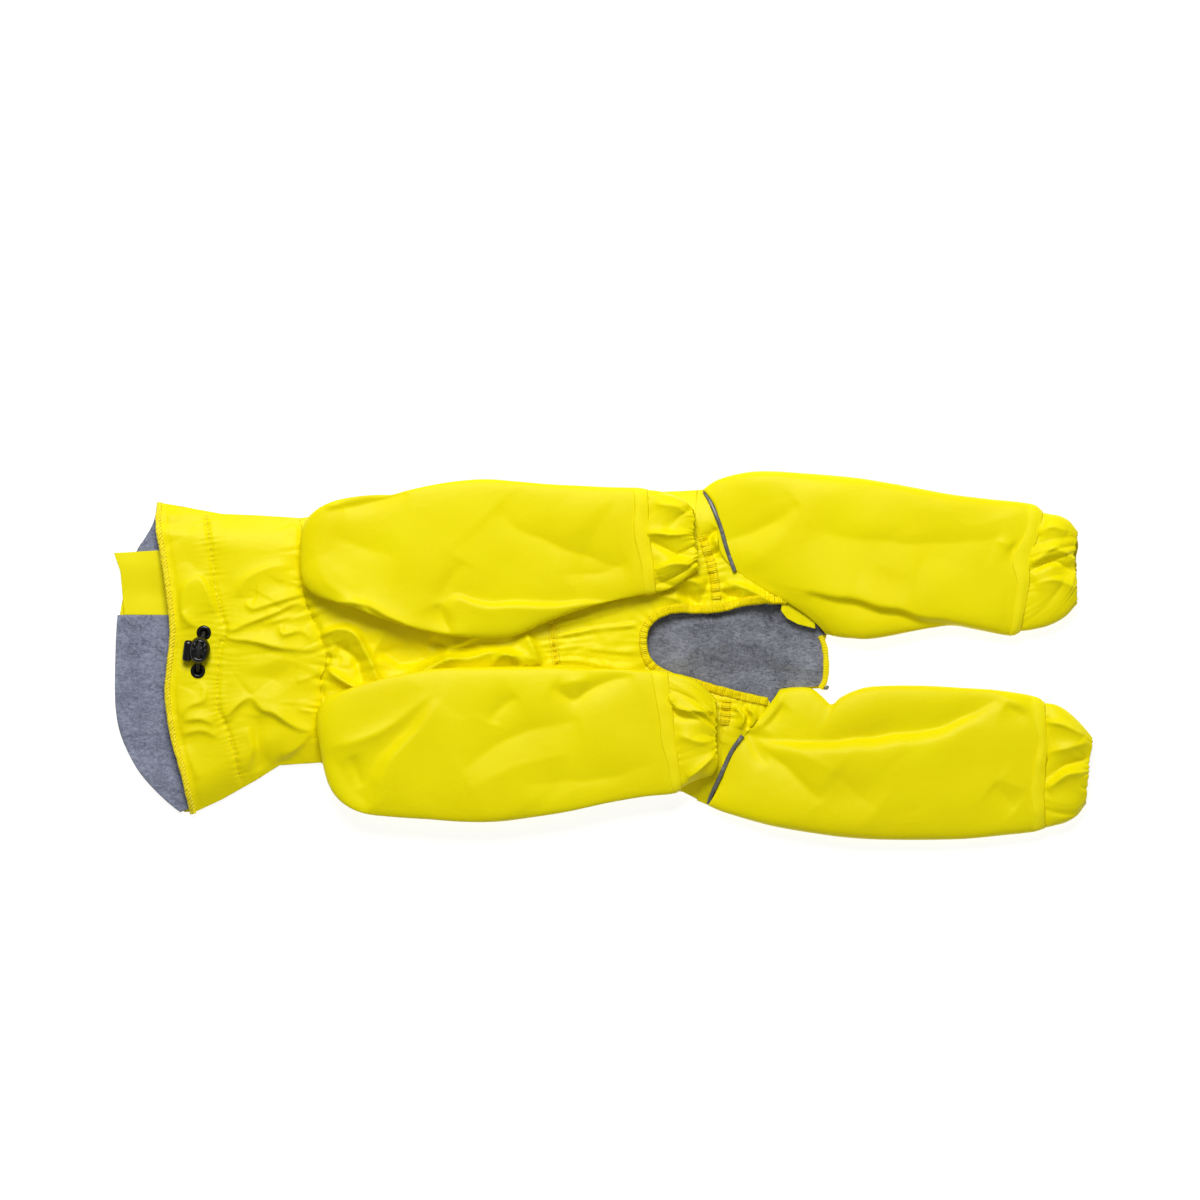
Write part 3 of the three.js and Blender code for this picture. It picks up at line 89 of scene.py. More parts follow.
def alongLine(x, y, line):  # distance from a line, its side, the place along it, and its length
    best, side, along = np.full(np.shape(x), 1e9), np.ones(np.shape(x)), np.zeros(np.shape(x))
    walked = 0.0
    for (ax, ay), (bx, by) in zip(line, line[1:]):
        dx, dy = bx - ax, by - ay
        span = math.hypot(dx, dy)
        share = np.clip(((x - ax) * dx + (y - ay) * dy) / span**2, 0, 1)
        offX, offY = x - ax - share * dx, y - ay - share * dy
        away = np.hypot(offX, offY)
        nearer = away < best
        best = np.where(nearer, away, best)
        side = np.where(nearer, np.sign(dx * offY - dy * offX), side)
        along = np.where(nearer, walked + share * span, along)
        walked += span
    return best, side, along, walked


# A fold is a traced line, its rise, and how far it spreads on its left and on its right
def foldRelief(x, y, folds, gain=1.35, widen=1.0):
    wanderX = x + 1.1 * ripple(x, y, 24, 3)
    wanderY = y + 1.1 * ripple(x, y, 24, 4)
    total = np.zeros(np.shape(x))
    for points, rise, left, right in folds:
        away, side, along, whole = alongLine(wanderX, wanderY, softLine(trace(*points)))
        taper = 0.1 + 0.9 * np.clip(np.sin(math.pi * along / whole), 0, 1) ** 0.6
        spread = (np.hypot(away, 0.45) - 0.45) / (widen * np.where(side > 0, left, right))
        total += gain * rise * taper * np.exp(-(spread**1.05))
    return total


# Sharp little crests and troughs as stiff coated cloth takes them, in patches
def crumple(x, y, size, seed):
    bentX = x + 0.15 * size * ripple(x, y, size * 1.6, seed + 50)
    bentY = y + 0.15 * size * ripple(x, y, size * 1.6, seed + 51)
    crest = np.abs(ripple(bentX, bentY, size, seed))
    trough = np.abs(ripple(bentX, bentY, size * 0.8, seed + 1))
    patch = smoothstep(-0.5, 0.6, ripple(x, y, size * 2.2, seed + 2))
    return patch * (trough - crest)


# Short puckers that run off a stitched line, uneven in length and depth
def gathers(x, y, line, pitch, rise, reach, seed, left=1.0, right=1.0):
    away, side, along, whole = alongLine(x, y, line)
    phase = math.pi * along / pitch + 2.0 * ripple(along, 0, 23, seed)
    strength = 0.6 + 0.4 * ripple(along, 0, 15, seed + 1)
    length = reach * (1 + 0.45 * ripple(along, 0, 8, seed + 2))
    hills = np.abs(np.sin(phase)) - 0.6
    return rise * np.where(side > 0, left, right) * strength * hills * np.exp(-away / length)


def insideOf(x, y, outline):
    found = np.zeros(len(x), bool)
    for (ax, ay), (bx, by) in zip(outline, [*outline[1:], outline[0]]):
        if ay == by:
            continue
        crosses = (ay > y) != (by > y)
        found ^= crosses & (x < ax + (y - ay) * (bx - ax) / (by - ay))
    return found


def nearestOn(x, y, outlines):  # the nearest place on any of several closed outlines
    best, atX, atY = np.full(len(x), 1e9), np.array(x), np.array(y)
    for outline in outlines:
        for (ax, ay), (bx, by) in zip(outline, [*outline[1:], outline[0]]):
            dx, dy = bx - ax, by - ay
            share = np.clip(((x - ax) * dx + (y - ay) * dy) / max(dx * dx + dy * dy, 1e-9), 0, 1)
            away = np.hypot(x - ax - share * dx, y - ay - share * dy)
            atX = np.where(away < best, ax + share * dx, atX)
            atY = np.where(away < best, ay + share * dy, atY)
            best = np.minimum(best, away)
    return atX, atY


def newGrid(columns, rows, width, length):
    form = bmesh.new()
    form.loops.layers.uv.new("cloth")
    bmesh.ops.create_grid(form, x_segments=columns, y_segments=rows, size=0.5, calc_uvs=True)
    layer = form.loops.layers.uv.active
    for face in form.faces:
        for loop in face.loops:
            loop[layer].uv = (loop[layer].uv[0] * width * mm, loop[layer].uv[1] * length * mm)
    return form


def places(form):
    return np.array([vert.co[:] for vert in form.verts], float).T


def move(form, x, y, z):
    for vert, place in zip(form.verts, np.stack([x, y, z], 1).tolist()):
        vert.co = place


# A flat grid cut to an outline, with its edge pulled onto it, then lifted to the cloth's height
def cutSheet(outline, height, step, holes=()):
    low, high = np.min(outline, 0), np.max(outline, 0)
    size = high - low
    form = newGrid(round(size[0] / step), round(size[1] / step), size[0], size[1])
    x, y, _ = places(form)
    x, y = low[0] + (x + 0.5) * size[0], low[1] + (y + 0.5) * size[1]
    kept = insideOf(x, y, outline)
    for hole in holes:
        kept &= ~insideOf(x, y, hole)
    snapX, snapY = nearestOn(x[~kept], y[~kept], [outline, *holes])
    x[~kept], y[~kept] = snapX, snapY
    move(form, x, y, np.zeros(len(x)))
    form.verts.ensure_lookup_table()
    gone = [face for face in form.faces if not any(kept[vert.index] for vert in face.verts)]
    bmesh.ops.delete(form, geom=gone, context="FACES")
    bmesh.ops.remove_doubles(form, verts=form.verts, dist=0.05)
    x, y, _ = places(form)
    move(form, x, y, height(x, y))
    return form


# Evenly spaced points round a flattened section, as shares of its half width and half height
def sectionOf(halfWidth, halfHeight, count, power):
    angle = np.linspace(0, 2 * math.pi, 721)
    side = np.sign(np.cos(angle)) * np.abs(np.cos(angle)) ** power
    up = np.sign(np.sin(angle)) * np.abs(np.sin(angle)) ** power
    gone = np.concatenate([[0], np.cumsum(np.hypot(np.diff(side) * halfWidth, np.diff(up) * halfHeight))])
    at = np.linspace(0, gone[-1], count, endpoint=False)
    return np.interp(at, gone, side), np.interp(at, gone, up)


# A grid wrapped to a tube: rings holds one closed ring of points for each station along it
def wrapTube(rings, width, length):
    stations, around, _ = rings.shape
    form = newGrid(stations - 1, around, length, width)
    u, v, _ = places(form)
    i = np.rint((u + 0.5) * (stations - 1)).astype(int)
    j = np.rint((v + 0.5) * around).astype(int) % around
    move(form, *rings[i, j].T)
    bmesh.ops.remove_doubles(form, verts=form.verts, dist=0.02)
    form.normal_update()
    middle = sum((vert.co for vert in form.verts), Vector()) / len(form.verts)
    if sum(vert.normal.dot(Vector((0, vert.co.y - middle.y, vert.co.z - middle.z))) for vert in form.verts) < 0:
        bmesh.ops.reverse_faces(form, faces=form.faces)
    return form


def makePiece(form, name, finish, nodes=(), wall=0.0, lining=None):
    bmesh.ops.transform(form, matrix=Matrix.Scale(mm, 4), verts=form.verts)
    form.normal_update()
    print(name, "has", len(form.faces), "faces,", round(sum(face.calc_area() for face in form.faces), 5), "m2")
    mesh = bpy.data.meshes.new(name)
    form.to_mesh(mesh)
    form.free()
    mesh.materials.append(finish)
    mesh.shade_smooth()
    piece = bpy.data.objects.new(name, mesh)
    bpy.context.scene.collection.objects.link(piece)
    if wall:
        thick = piece.modifiers.new("wall", "SOLIDIFY")
        thick.thickness = wall * mm
        thick.offset = -1
        if lining:
            mesh.materials.append(lining)
            thick.material_offset = 1
    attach(piece, "root")
    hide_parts(*nodes)
    return piece


class Level:  # a shader value that takes part in sums
    def __init__(self, finish, socket):
        self.finish, self.socket = finish, socket

    def joined(self, operation, first, second):
        return self.finish.add("ShaderNodeMath", {"operation": operation}, {0: first, 1: second})

    def __add__(self, other):
        return self.joined("ADD", self, other)

    def __sub__(self, other):
        return self.joined("SUBTRACT", self, other)

    def __rsub__(self, other):
        return self.joined("SUBTRACT", other, self)

    def __mul__(self, other):
        return self.joined("MULTIPLY", self, other)

    __radd__, __rmul__ = __add__, __mul__


class Finish:
    def __init__(self, name, **fixed):
        self.material = bpy.data.materials.new(name)
        self.material.use_nodes = True
        self.tree = self.material.node_tree
        self.shader = self.tree.nodes["Principled BSDF"]
        for socket, value in fixed.items():
            self.shader.inputs[socket.replace("_", " ")].default_value = value

    def add(self, kind, settings, sockets, output=0):
        node = self.tree.nodes.new(kind)
        for key, value in settings.items():
            setattr(node, key, value)
        for key, value in sockets.items():
            if isinstance(value, Level):
                self.tree.links.new(value.socket, node.inputs[key])
            else:
                node.inputs[key].default_value = value
        return Level(self, node.outputs[output])

    def where(self, kind):
        return self.add("ShaderNodeTexCoord", {}, {}, kind)

    def noise(self, place, scale, detail=3.0, distortion=0.0):
        return self.add("ShaderNodeTexNoise", {}, {"Vector": place, "Scale": scale, "Detail": detail, "Distortion": distortion})

    def waves(self, place, axis, count):
        sockets = {"Vector": place, "Scale": count, "Distortion": 0.6, "Detail": 1.0, "Detail Scale": 2.0}
        return self.add("ShaderNodeTexWave", {"bands_direction": axis}, sockets, 1)

    def stretched(self, place, turn, scale):
        return self.add("ShaderNodeMapping", {}, {"Vector": place, "Rotation": (0, 0, turn), "Scale": scale})

    def blend(self, share, first, second):
        return self.add("ShaderNodeMix", {"data_type": "RGBA"}, {0: share, 6: first, 7: second}, 2)

    def spread(self, value, low, high):
        sockets = {0: value, 1: low, 2: high, 3: 0.0, 4: 1.0}
        return self.add("ShaderNodeMapRange", {"clamp": True}, sockets)

    def bump(self, height, depth, under=None):
        sockets = {"Height": height, "Strength": 1.0, "Distance": depth}
        if under:
            sockets["Normal"] = under
        return self.add("ShaderNodeBump", {}, sockets)

    def wear(self, **sockets):
        for key, value in sockets.items():
            self.tree.links.new(value.socket, self.shader.inputs[key.replace("_", " ")])
        return self.material


def linear(red, green, blue):  # a colour as a paint program shows it, from 0 to 255
    share = [(level / 255 + 0.055) / 1.055 if level > 10 else level / 255 / 12.92 for level in (red, green, blue)]
    return (*[level**2.4 if level > 0.01 else level for level in share], 1)


nylon = {"lit": (249, 236, 0), "deep": (246, 230, 0), "rough": 0.40, "weave": 0.000018, "crinkle": 0.00022}
tape = {"lit": (255, 242, 16), "deep": (253, 236, 8), "rough": 0.46, "weave": 0.000030, "crinkle": 0.00012}


def nylonFinish(name, look, seed):
    made = Finish(name, Specular_IOR_Level=0.12)
    cloth, place = made.where("UV"), made.where("Object")
    thread = made.waves(cloth, "X", 520.0) + made.waves(cloth, "Y", 520.0)
    crinkle = made.noise(made.stretched(place, 0.4 + seed, (60, 95, 60)), 1.0, 3.0, 0.8)
    fine = made.noise(place, 420.0, 2.0)
    clouds = made.noise(place, 16.0, 2.0)
    tint = made.spread(clouds + 0.25 * fine, 0.45, 0.85)
    weave = made.bump(thread, look["weave"])
    return made.wear(
        Base_Color=made.blend(tint, linear(*look["lit"]), linear(*look["deep"])),
        Roughness=look["rough"] + 0.10 * (crinkle - 0.5) + 0.05 * (fine - 0.5),
        Normal=made.bump(crinkle + 0.12 * fine, look["crinkle"], weave),
    )


fleeceLook = {"light": (154, 160, 182), "dark": (88, 93, 113), "nap": 0.0005}


def fleeceFinish(name, look, scale):
    made = Finish(name, Sheen_Weight=0.3, Sheen_Roughness=0.6)
    place = made.where("Object")
    brushed = made.noise(made.stretched(place, 0.9, (240 * scale, 420 * scale, 300)), 1.0, 4.0, 1.2)
    fuzz = made.noise(place, 900.0 * scale, 3.0)
    patches = made.noise(place, 60.0, 3.0)
    shade = made.spread(0.55 * brushed + 0.3 * fuzz + 0.3 * patches, 0.42, 0.72)
    return made.wear(
        Base_Color=made.blend(shade, linear(*look["dark"]), linear(*look["light"])),
        Roughness=0.9 + 0.08 * (fuzz - 0.5),
        Normal=made.bump(0.7 * brushed + 0.5 * fuzz, look["nap"]),
    )


def trimFinish(name, light, dark, rough, scale, depth, metallic=0.0):
    made = Finish(name, Metallic=metallic)
    place = made.where("Object")
    grain = made.noise(place, scale, 3.0)
    broad = made.noise(place, scale * 0.12, 2.0)
    return made.wear(
        Base_Color=made.blend(made.spread(0.6 * grain + 0.4 * broad, 0.35, 0.65), linear(*dark), linear(*light)),
        Roughness=rough + 0.12 * (grain - 0.5),
        Normal=made.bump(grain, depth),
    )


yellowNylon = nylonFinish("coatedNylon", nylon, 0.0)
legNylon = nylonFinish("coatedNylonLegs", nylon, 1.3)
tapeNylon = nylonFinish("seamTape", tape, 0.7)
elasticRib = nylonFinish("gatheredElastic", {**tape, "lit": (250, 232, 2), "deep": (242, 220, 0)}, 2.1)
fleeceGrey = fleeceFinish("fleece", fleeceLook, 1.0)
fleeceInside = fleeceFinish("fleeceInside", {"light": (146, 149, 160), "dark": (78, 80, 90), "nap": 0.0006}, 1.0)
yellowThread = trimFinish("yellowThread", (255, 240, 24), (250, 228, 4), 0.6, 2500.0, 0.00005)
shadeThread = trimFinish("shadeThread", (240, 216, 4), (220, 194, 0), 0.7, 2500.0, 0.00005)
greyPiping = trimFinish("reflectivePiping", (122, 125, 129), (92, 95, 99), 0.42, 1800.0, 0.00006, 0.25)
lockPlastic = trimFinish("lockPlastic", (9, 10, 12), (4, 4, 5), 0.2, 1500.0, 0.00003)
cordBlack = trimFinish("cordBlack", (30, 30, 33), (14, 14, 16), 0.75, 2600.0, 0.0001)
eyeletMetal = trimFinish("eyeletMetal", (60, 60, 62), (30, 30, 32), 0.24, 900.0, 0.00002, 0.9)
print("materials made")


bodySides = np.array([
    (-214, 95, -73), (-195, 98, -75), (-179, 103, -91), (-140, 107, -101), (-98, 110, -105), (-28, 112, -103),
    (28, 114, -96), (56, 115, -95.5), (72, 116, -104), (80, 119, -107), (170, 119, -107),
]).T
collarSides = np.array([
    (-318, 107, -112.5), (-311, 107, -112.5), (-292, 104, -112.5), (-287.5, 103, -111.5), (-266, 99, -101.5),
    (-242, 98, -88), (-225.5, 97, -77.5), (-211, 96, -76.5), (-188, 96, -75.5),
]).T
legEdges = np.array([
    (-214, 44, -20), (-200, 36, -25), (-162, 32, -29), (-144, 24, -25), (-112, 15, -13), (-84, 12, -9),
    (-56, 14, -9), (-28, 26, -8.5), (0, 36.5, -10), (34, 43.5, -10.5), (52, 49, -12), (66, 60, -16),
    (72, 130, -24), (84, 130, -58), (88, 130, -130),
]).T
neckSeam = [
    (-211, 96), (-210, 84), (-208, 43.5), (-201, 22.5), (-196.5, 14), (-192.5, -3),
    (-196.5, -19), (-196, -36), (-197.5, -49), (-195, -62.5), (-196, -75.5),
]
collarRim = [
    (-311, 107), (-311.5, 91.5), (-308, 70), (-305, 50), (-302.5, 30), (-301.5, 14),
    (-304, -11), (-305, -29), (-301, -57), (-293.5, -83.5), (-287.5, -111.5),
]
backRim = [
    (-311, 107), (-314, 93), (-320, 82), (-326, 72.5), (-334.5, 49), (-339.5, 24), (-341, -19),
    (-340, -42), (-335.5, -60), (-325, -80.5), (-311.5, -96.5), (-295, -110.5), (-287.5, -111.5),
]
channelSeam = softLine([
    (-277, 99), (-272, 66), (-270, 47), (-265.5, 27.5), (-262.5, 15.5), (-267.5, 0),
    (-268, -35), (-260.5, -55), (-255.5, -73.5), (-252, -90),
])
openingEdge = softLine([
    (130, 36.5), (111.5, 36.5), (97.5, 34.5), (83.5, 31), (69.5, 30), (55.5, 30.5), (45, 28.5),
    (36.5, 23.5), (32, 16), (31.5, 6), (34, -2), (40, -8.5), (49.5, -13), (62.5, -16.5),
    (80, -22), (101, -27.5), (117, -31),
], 2)
tailEdge = softLine([(156, 13.5), (159, 5), (160, -8), (159, -18), (156, -23.5)], 2)
flankSeamUpper = softLine([(70, 84), (74, 72), (78, 60), (80, 49), (81, 37.5)], 2)
flankSeamLower = softLine([(88.3, -29), (87.5, -38), (86.4, -47)], 2)


def hipLine(outerX, outerY, innerX, innerY, bow):  # edge of a hind leg's first ring, from above
    side = np.linspace(1, -1, 17)
    x = (outerX + innerX) / 2 + side * (outerX - innerX) / 2 + bow * (1 - side**2) ** 3
    return np.stack([x, (outerY + innerY) / 2 + side * (outerY - innerY) / 2], 1).tolist()


hipUpper = hipLine(71.5, 116, 157.5, 14.5, -27)
hipLower = hipLine(75, -105.5, 125, -24, -6)


def fromSides(sides, x, y):
    return np.minimum(np.interp(x, sides[0], sides[1]) - y, y - np.interp(x, sides[0], sides[2]))


def risen(fromSide, edge, middle):
    return edge + (middle - edge) * np.sin(np.clip(fromSide / 26, 0, 1) * math.pi / 2)


neckLine = softLine(neckSeam, 1.5)
neckLine[1:-1, 0] += 1.5 * ripple(neckLine[1:-1, 1], 0, 12, 44)
chest = {"edge": 2.7, "top": 11.4, "waist": 9.8}
chestFolds = [
    ([(322, 642), (329, 632), (343, 629), (356, 636), (368, 656), (380, 686), (376, 697)], 3.2, 1.8, 7),
    ([(338, 645), (356, 660), (364, 684)], -2.2, 3, 3),
    ([(324, 658), (331, 673), (353, 687), (374, 690)], 2.6, 4, 1.6),
    ([(378, 650), (404, 660), (444, 658)], -3.4, 14, 4),
    ([(322, 706), (368, 708), (395, 695), (433, 665), (473, 656), (507, 653), (538, 663)], 3.6, 3.4, 9),
    ([(376, 701), (412, 682), (436, 663), (460, 656)], 2.0, 2.4, 3),
    ([(447, 650), (431, 640)], -2.2, 2.5, 2.5),
    ([(447, 652), (478, 642)], -2.0, 2.5, 2.5),
    ([(450, 648), (480, 636), (512, 637)], 1.8, 3, 3),
    ([(491, 665), (507, 654), (526, 665)], 2.2, 2.4, 3),
    ([(513, 657), (518, 667)], -1.8, 2, 2),
    ([(525, 628), (533, 648), (540, 666)], 3.0, 2.4, 8),
    ([(325, 735), (350, 722), (372, 712)], -1.6, 3, 3),
    ([(330, 655), (326, 668), (322, 676)], -1.6, 2, 2),
    ([(678, 590), (701, 608)], -2.4, 3, 3),
    ([(701, 607), (712, 572)], -1.6, 3, 2.4),
    ([(672, 585), (690, 580), (706, 590)], 2.0, 3, 4),
    ([(655, 592), (672, 598), (690, 606)], 1.4, 3, 3),
    ([(703, 545), (716, 528)], -2.2, 2.6, 3),
    ([(709, 562), (722, 546)], -1.8, 2.6, 3),
    ([(712, 532), (722, 556)], 1.8, 3, 3),
    ([(725, 580), (752, 592), (778, 604)], 2.0, 3, 4),
    ([(722, 592), (742, 600)], -1.8, 2.4, 3),
    ([(735, 706), (744, 716), (740, 730)], 2.2, 2.2, 3),
    ([(739, 705), (749, 717), (745, 731)], -1.8, 2, 2),
    ([(746, 706), (755, 716), (752, 729)], 2.0, 2.2, 3),
    ([(705, 722), (712, 740), (706, 760)], 1.6, 3, 4),
    ([(722, 742), (716, 762), (708, 780)], -1.4, 3, 3),
]
shirring = softLine([(-35, 24), (-33, 9), (-31, -6)], 2)


def bellyHeight(x, y):
    fromSide = fromSides(bodySides, x, y)
    nearWaist = np.clip(1 - alongLine(x, y, neckLine)[0] / 34, 0, 1)
    plain = risen(fromSide, chest["edge"], chest["top"] + (chest["waist"] - chest["top"]) * nearWaist)
    fromLegs = np.minimum(fromSide, fromSides(legEdges, x, y) + 6)
    clear = smoothstep(-1, 4, fromLegs)
    share = (x + 34) / 60
    fan = (y - (-6 - 8 * share)) / (30 + 26 * share)
    ribs = smoothstep(0, 0.06, share) * (1 - smoothstep(20, 27, x)) * smoothstep(-0.1, 0.1, share)
    pleat = np.sin(fan * 7 * math.pi + 1.7 * ripple(y, x * 0.35, 26, 22))
    fanned = ribs * (0.6 + 0.6 * ripple(y, x * 0.3, 14, 21)) * (0.5 * pleat + 0.6 * (np.abs(pleat) - 0.6))
    puckers = (
        gathers(x, y, shirring, 4.4, 2.8, 10, 31)
        + gathers(x, y, neckLine, 8.5, 4.0, 9, 41)
        + gathers(x, y, openingEdge, 4.6, 2.4, 9, 51)
        + gathers(x, y, flankSeamUpper, 5.2, 2.6, 9, 61)
        + gathers(x, y, flankSeamLower, 4.6, 2.4, 8, 71)
    )
    pressed = -4.0 * np.exp(-((alongLine(x, y, [(36, -10), (76, -22)])[0] / 13) ** 2))
    neckDip = -2.4 * np.exp(-((alongLine(x, y, neckLine)[0] / 2.6) ** 2))
    relief = foldRelief(x, y, chestFolds, 2.8, 1.1) + puckers + 2.2 * fanned + neckDip + 0.35 * ripple(x, y, 30, 5) + 1.2 * crumple(x, y, 30, 19)
    return np.maximum(plain + pressed + clear * relief, np.minimum(plain, 5.6))


bodyLook = {"wall": 0.9, "step": 1.3}
upperSide = [(x, top) for x, top, _ in bodySides.T if -205 < x < 70]
lowerSide = [(x, low) for x, _, low in bodySides.T if -190 < x < 70]
wholeBack = [
    *[(x + 0.3, y) for x, y in neckSeam[::-1]], *upperSide, *[(x + 1, y) for x, y in hipUpper],
    *tailEdge.tolist(), *[(x + 1, y) for x, y in hipLower[::-1]], *lowerSide[::-1],
]
seamUp = [(67, 130), (66, 96), *flankSeamUpper.tolist(), (81.5, 30.5)]
seamDown = [(88.5, -23.5), *flankSeamLower.tolist(), (84, -60), (70, -90), (64, -130)]


chestOutline = [
    *[(x - 0.4, y) for x, y in neckLine.tolist()[::-1]],
    *upperSide, (68, 115.5),
    *[point for point in seamUp if point[1] < 114],
    *[tuple(point) for point in openingEdge.tolist() if point[0] < 82 or (point[1] < 0 and point[0] < 88)],
    *[point for point in seamDown if point[1] > -96 and point[1] < -25], (67.5, -101),
    *lowerSide[::-1],
]
flankUpOutline = [
    (67, 115.5), *[(x - 0.4, y) for x, y in seamUp if y < 114],
    *[tuple(point) for point in openingEdge.tolist()[::-1] if point[0] > 82 and point[1] > 0],
    (127, 37.5), *[(x + 0.6, y) for x, y in hipUpper[::-1] if y > 39],
]
flankDownOutline = [
    *[tuple(point) for point in openingEdge.tolist() if point[0] > 88.6 and point[1] < 0],
    *[(x + 0.6, y) for x, y in hipLower[::-1] if y < -32],
    (67, -102), *[(x - 0.4, y) for x, y in seamDown[::-1] if -103 < y < -25],
]


def buildBody():
    base = cutSheet(wholeBack, lambda x, y: np.full(len(x), 1.2), 4)
    back = makePiece(base, "backCloth", yellowNylon, ["back_shell"], 1.1)
    drawnIn = np.array([5.0] * (len(neckSeam) + len(upperSide)) + [0.2] * 17 + [1.8] * len(tailEdge) + [0.2] * 17 + [5.0] * len(lowerSide))[:, None]
    inner = [tuple(point) for point in nearestInset(wholeBack, drawnIn)]
    lining = makePiece(cutSheet(inner, liningHeight, 2.2), "backFleece", fleeceInside, ["back_lining"], 1.4)
    panels = {
        "chestCloth": (chestOutline, "chest_panel", (0.225, 0.31), 0.056),
        "flankUpperCloth": (flankUpOutline, "flank_upper", (0.06, 0.085), 0.0017),
        "flankLowerCloth": (flankDownOutline, "flank_lower", (0.04, 0.08), 0.0014),
    }
    made = {}
    for name, (outline, node, cut, area) in panels.items():
        form = cutSheet(outline, bellyHeight, bodyLook["step"] if node == "chest_panel" else 0.9)
        made[name] = makePiece(form, name, yellowNylon, [node], bodyLook["wall"])
        node != "chest_panel"
    print("body made")
    return lining, made["chestCloth"], panels["chestCloth"][2:]


def nearestInset(outline, distance):  # the outline drawn in by a distance, along its corners' middles
    ring = np.array(outline, float)
    before, after = np.roll(ring, 1, 0), np.roll(ring, -1, 0)
    way = after - before
    way /= np.maximum(np.linalg.norm(way, axis=1), 1e-6)[:, None]
    turned = np.stack([-way[:, 1], way[:, 0]], 1)
    area = np.sum(ring[:, 0] * after[:, 1] - after[:, 0] * ring[:, 1])
    return ring + turned * distance * np.sign(area)


liningFolds = [
    ([(745, 630), (790, 649), (826, 660)], -1.8, 9, 5),
    ([(700, 655), (745, 640), (790, 662), (826, 672)], 1.6, 7, 6),
    ([(722, 680), (748, 671), (773, 672), (800, 667)], -1.4, 3, 4),
    ([(680, 625), (715, 622), (745, 617)], 1.2, 3, 6),
    ([(664, 670), (700, 648), (735, 628)], 1.3, 7, 7),
]


def liningHeight(x, y):
    clear = smoothstep(4, 20, fromSides(bodySides, x, y)) * smoothstep(-10, 30, x)
    rough = 0.10 * ripple(x, y, 3.4, 8) + 0.25 * ripple(x, y, 14, 9)
    relief = clear * (1.0 + foldRelief(x, y, liningFolds, 2.4, 1.2) + rough) * (1 - 0.6 * smoothstep(150, 158, x))
    return np.maximum(3.1 + relief, 2.75 + 0.1 * rough)


# A band along a line: round on top, ribbed across, its edges down on the cloth
def band(line, width, rise, height, pitch=0.0, rib=0.0, across=8, step=0.8, tuck=0.0, wobble=0.0, slant=0.0):
    line = softLine(line, step)
    gone = np.concatenate([[0], np.cumsum(np.linalg.norm(np.diff(line, axis=0), axis=1))])
    way = np.gradient(line, axis=0)
    way /= np.linalg.norm(way, axis=1)[:, None]
    form = newGrid(len(line) - 1, across, gone[-1], width)
    u, v, _ = places(form)
    i = np.rint((u + 0.5) * (len(line) - 1)).astype(int)
    swell = 1 + wobble * ripple(gone[i], 0, 9, 14)
    x = line[i, 0] - way[i, 1] * v * width * swell
    y = line[i, 1] + way[i, 0] * v * width * swell
    crown = np.sqrt(np.clip(1 - (2 * v) ** 4, 0, 1))
    ribs = rib * np.abs(np.sin(math.pi * (gone[i] + slant * v * width) / pitch)) if pitch else 0
    move(form, x, y, height(x, y) - 0.2 + crown * (rise + ribs) - tuck * (1 - crown))
    return form


def stitchesOn(form, line, height, pitch, size, turn=0.0, shift=0.0, zigzag=False):
    line = softLine(line, 1)
    gone = np.concatenate([[0], np.cumsum(np.linalg.norm(np.diff(line, axis=0), axis=1))])
    for k, at in enumerate(np.arange(pitch / 2, gone[-1], pitch)):
        x, y = np.interp(at, gone, line[:, 0]), np.interp(at, gone, line[:, 1])
        aheadX, aheadY = np.interp(at + 1, gone, line[:, 0]), np.interp(at + 1, gone, line[:, 1])
        way = math.atan2(aheadY - y, aheadX - x) if at + 1 < gone[-1] else way
        x, y = x - math.sin(way) * shift, y + math.cos(way) * shift
        lean = way + (turn if not zigzag or k % 2 else -turn)
        z = float(height(np.array([x]), np.array([y]))[0]) + size[2] * 0.3
        place = Matrix.Translation((x, y, z)) @ Matrix.Rotation(lean, 4, "Z") @ Matrix.Diagonal((*[s / 2 for s in size], 1))
        bmesh.ops.create_icosphere(form, subdivisions=1, radius=1, matrix=place)
    return form


bindingLook = {"width": 6.2, "rise": 1.5, "rib": 0.8, "pitch": 1.4}
stripLook = {"width": 8.0, "rise": 0.7, "rib": 0.8, "pitch": 1.4}


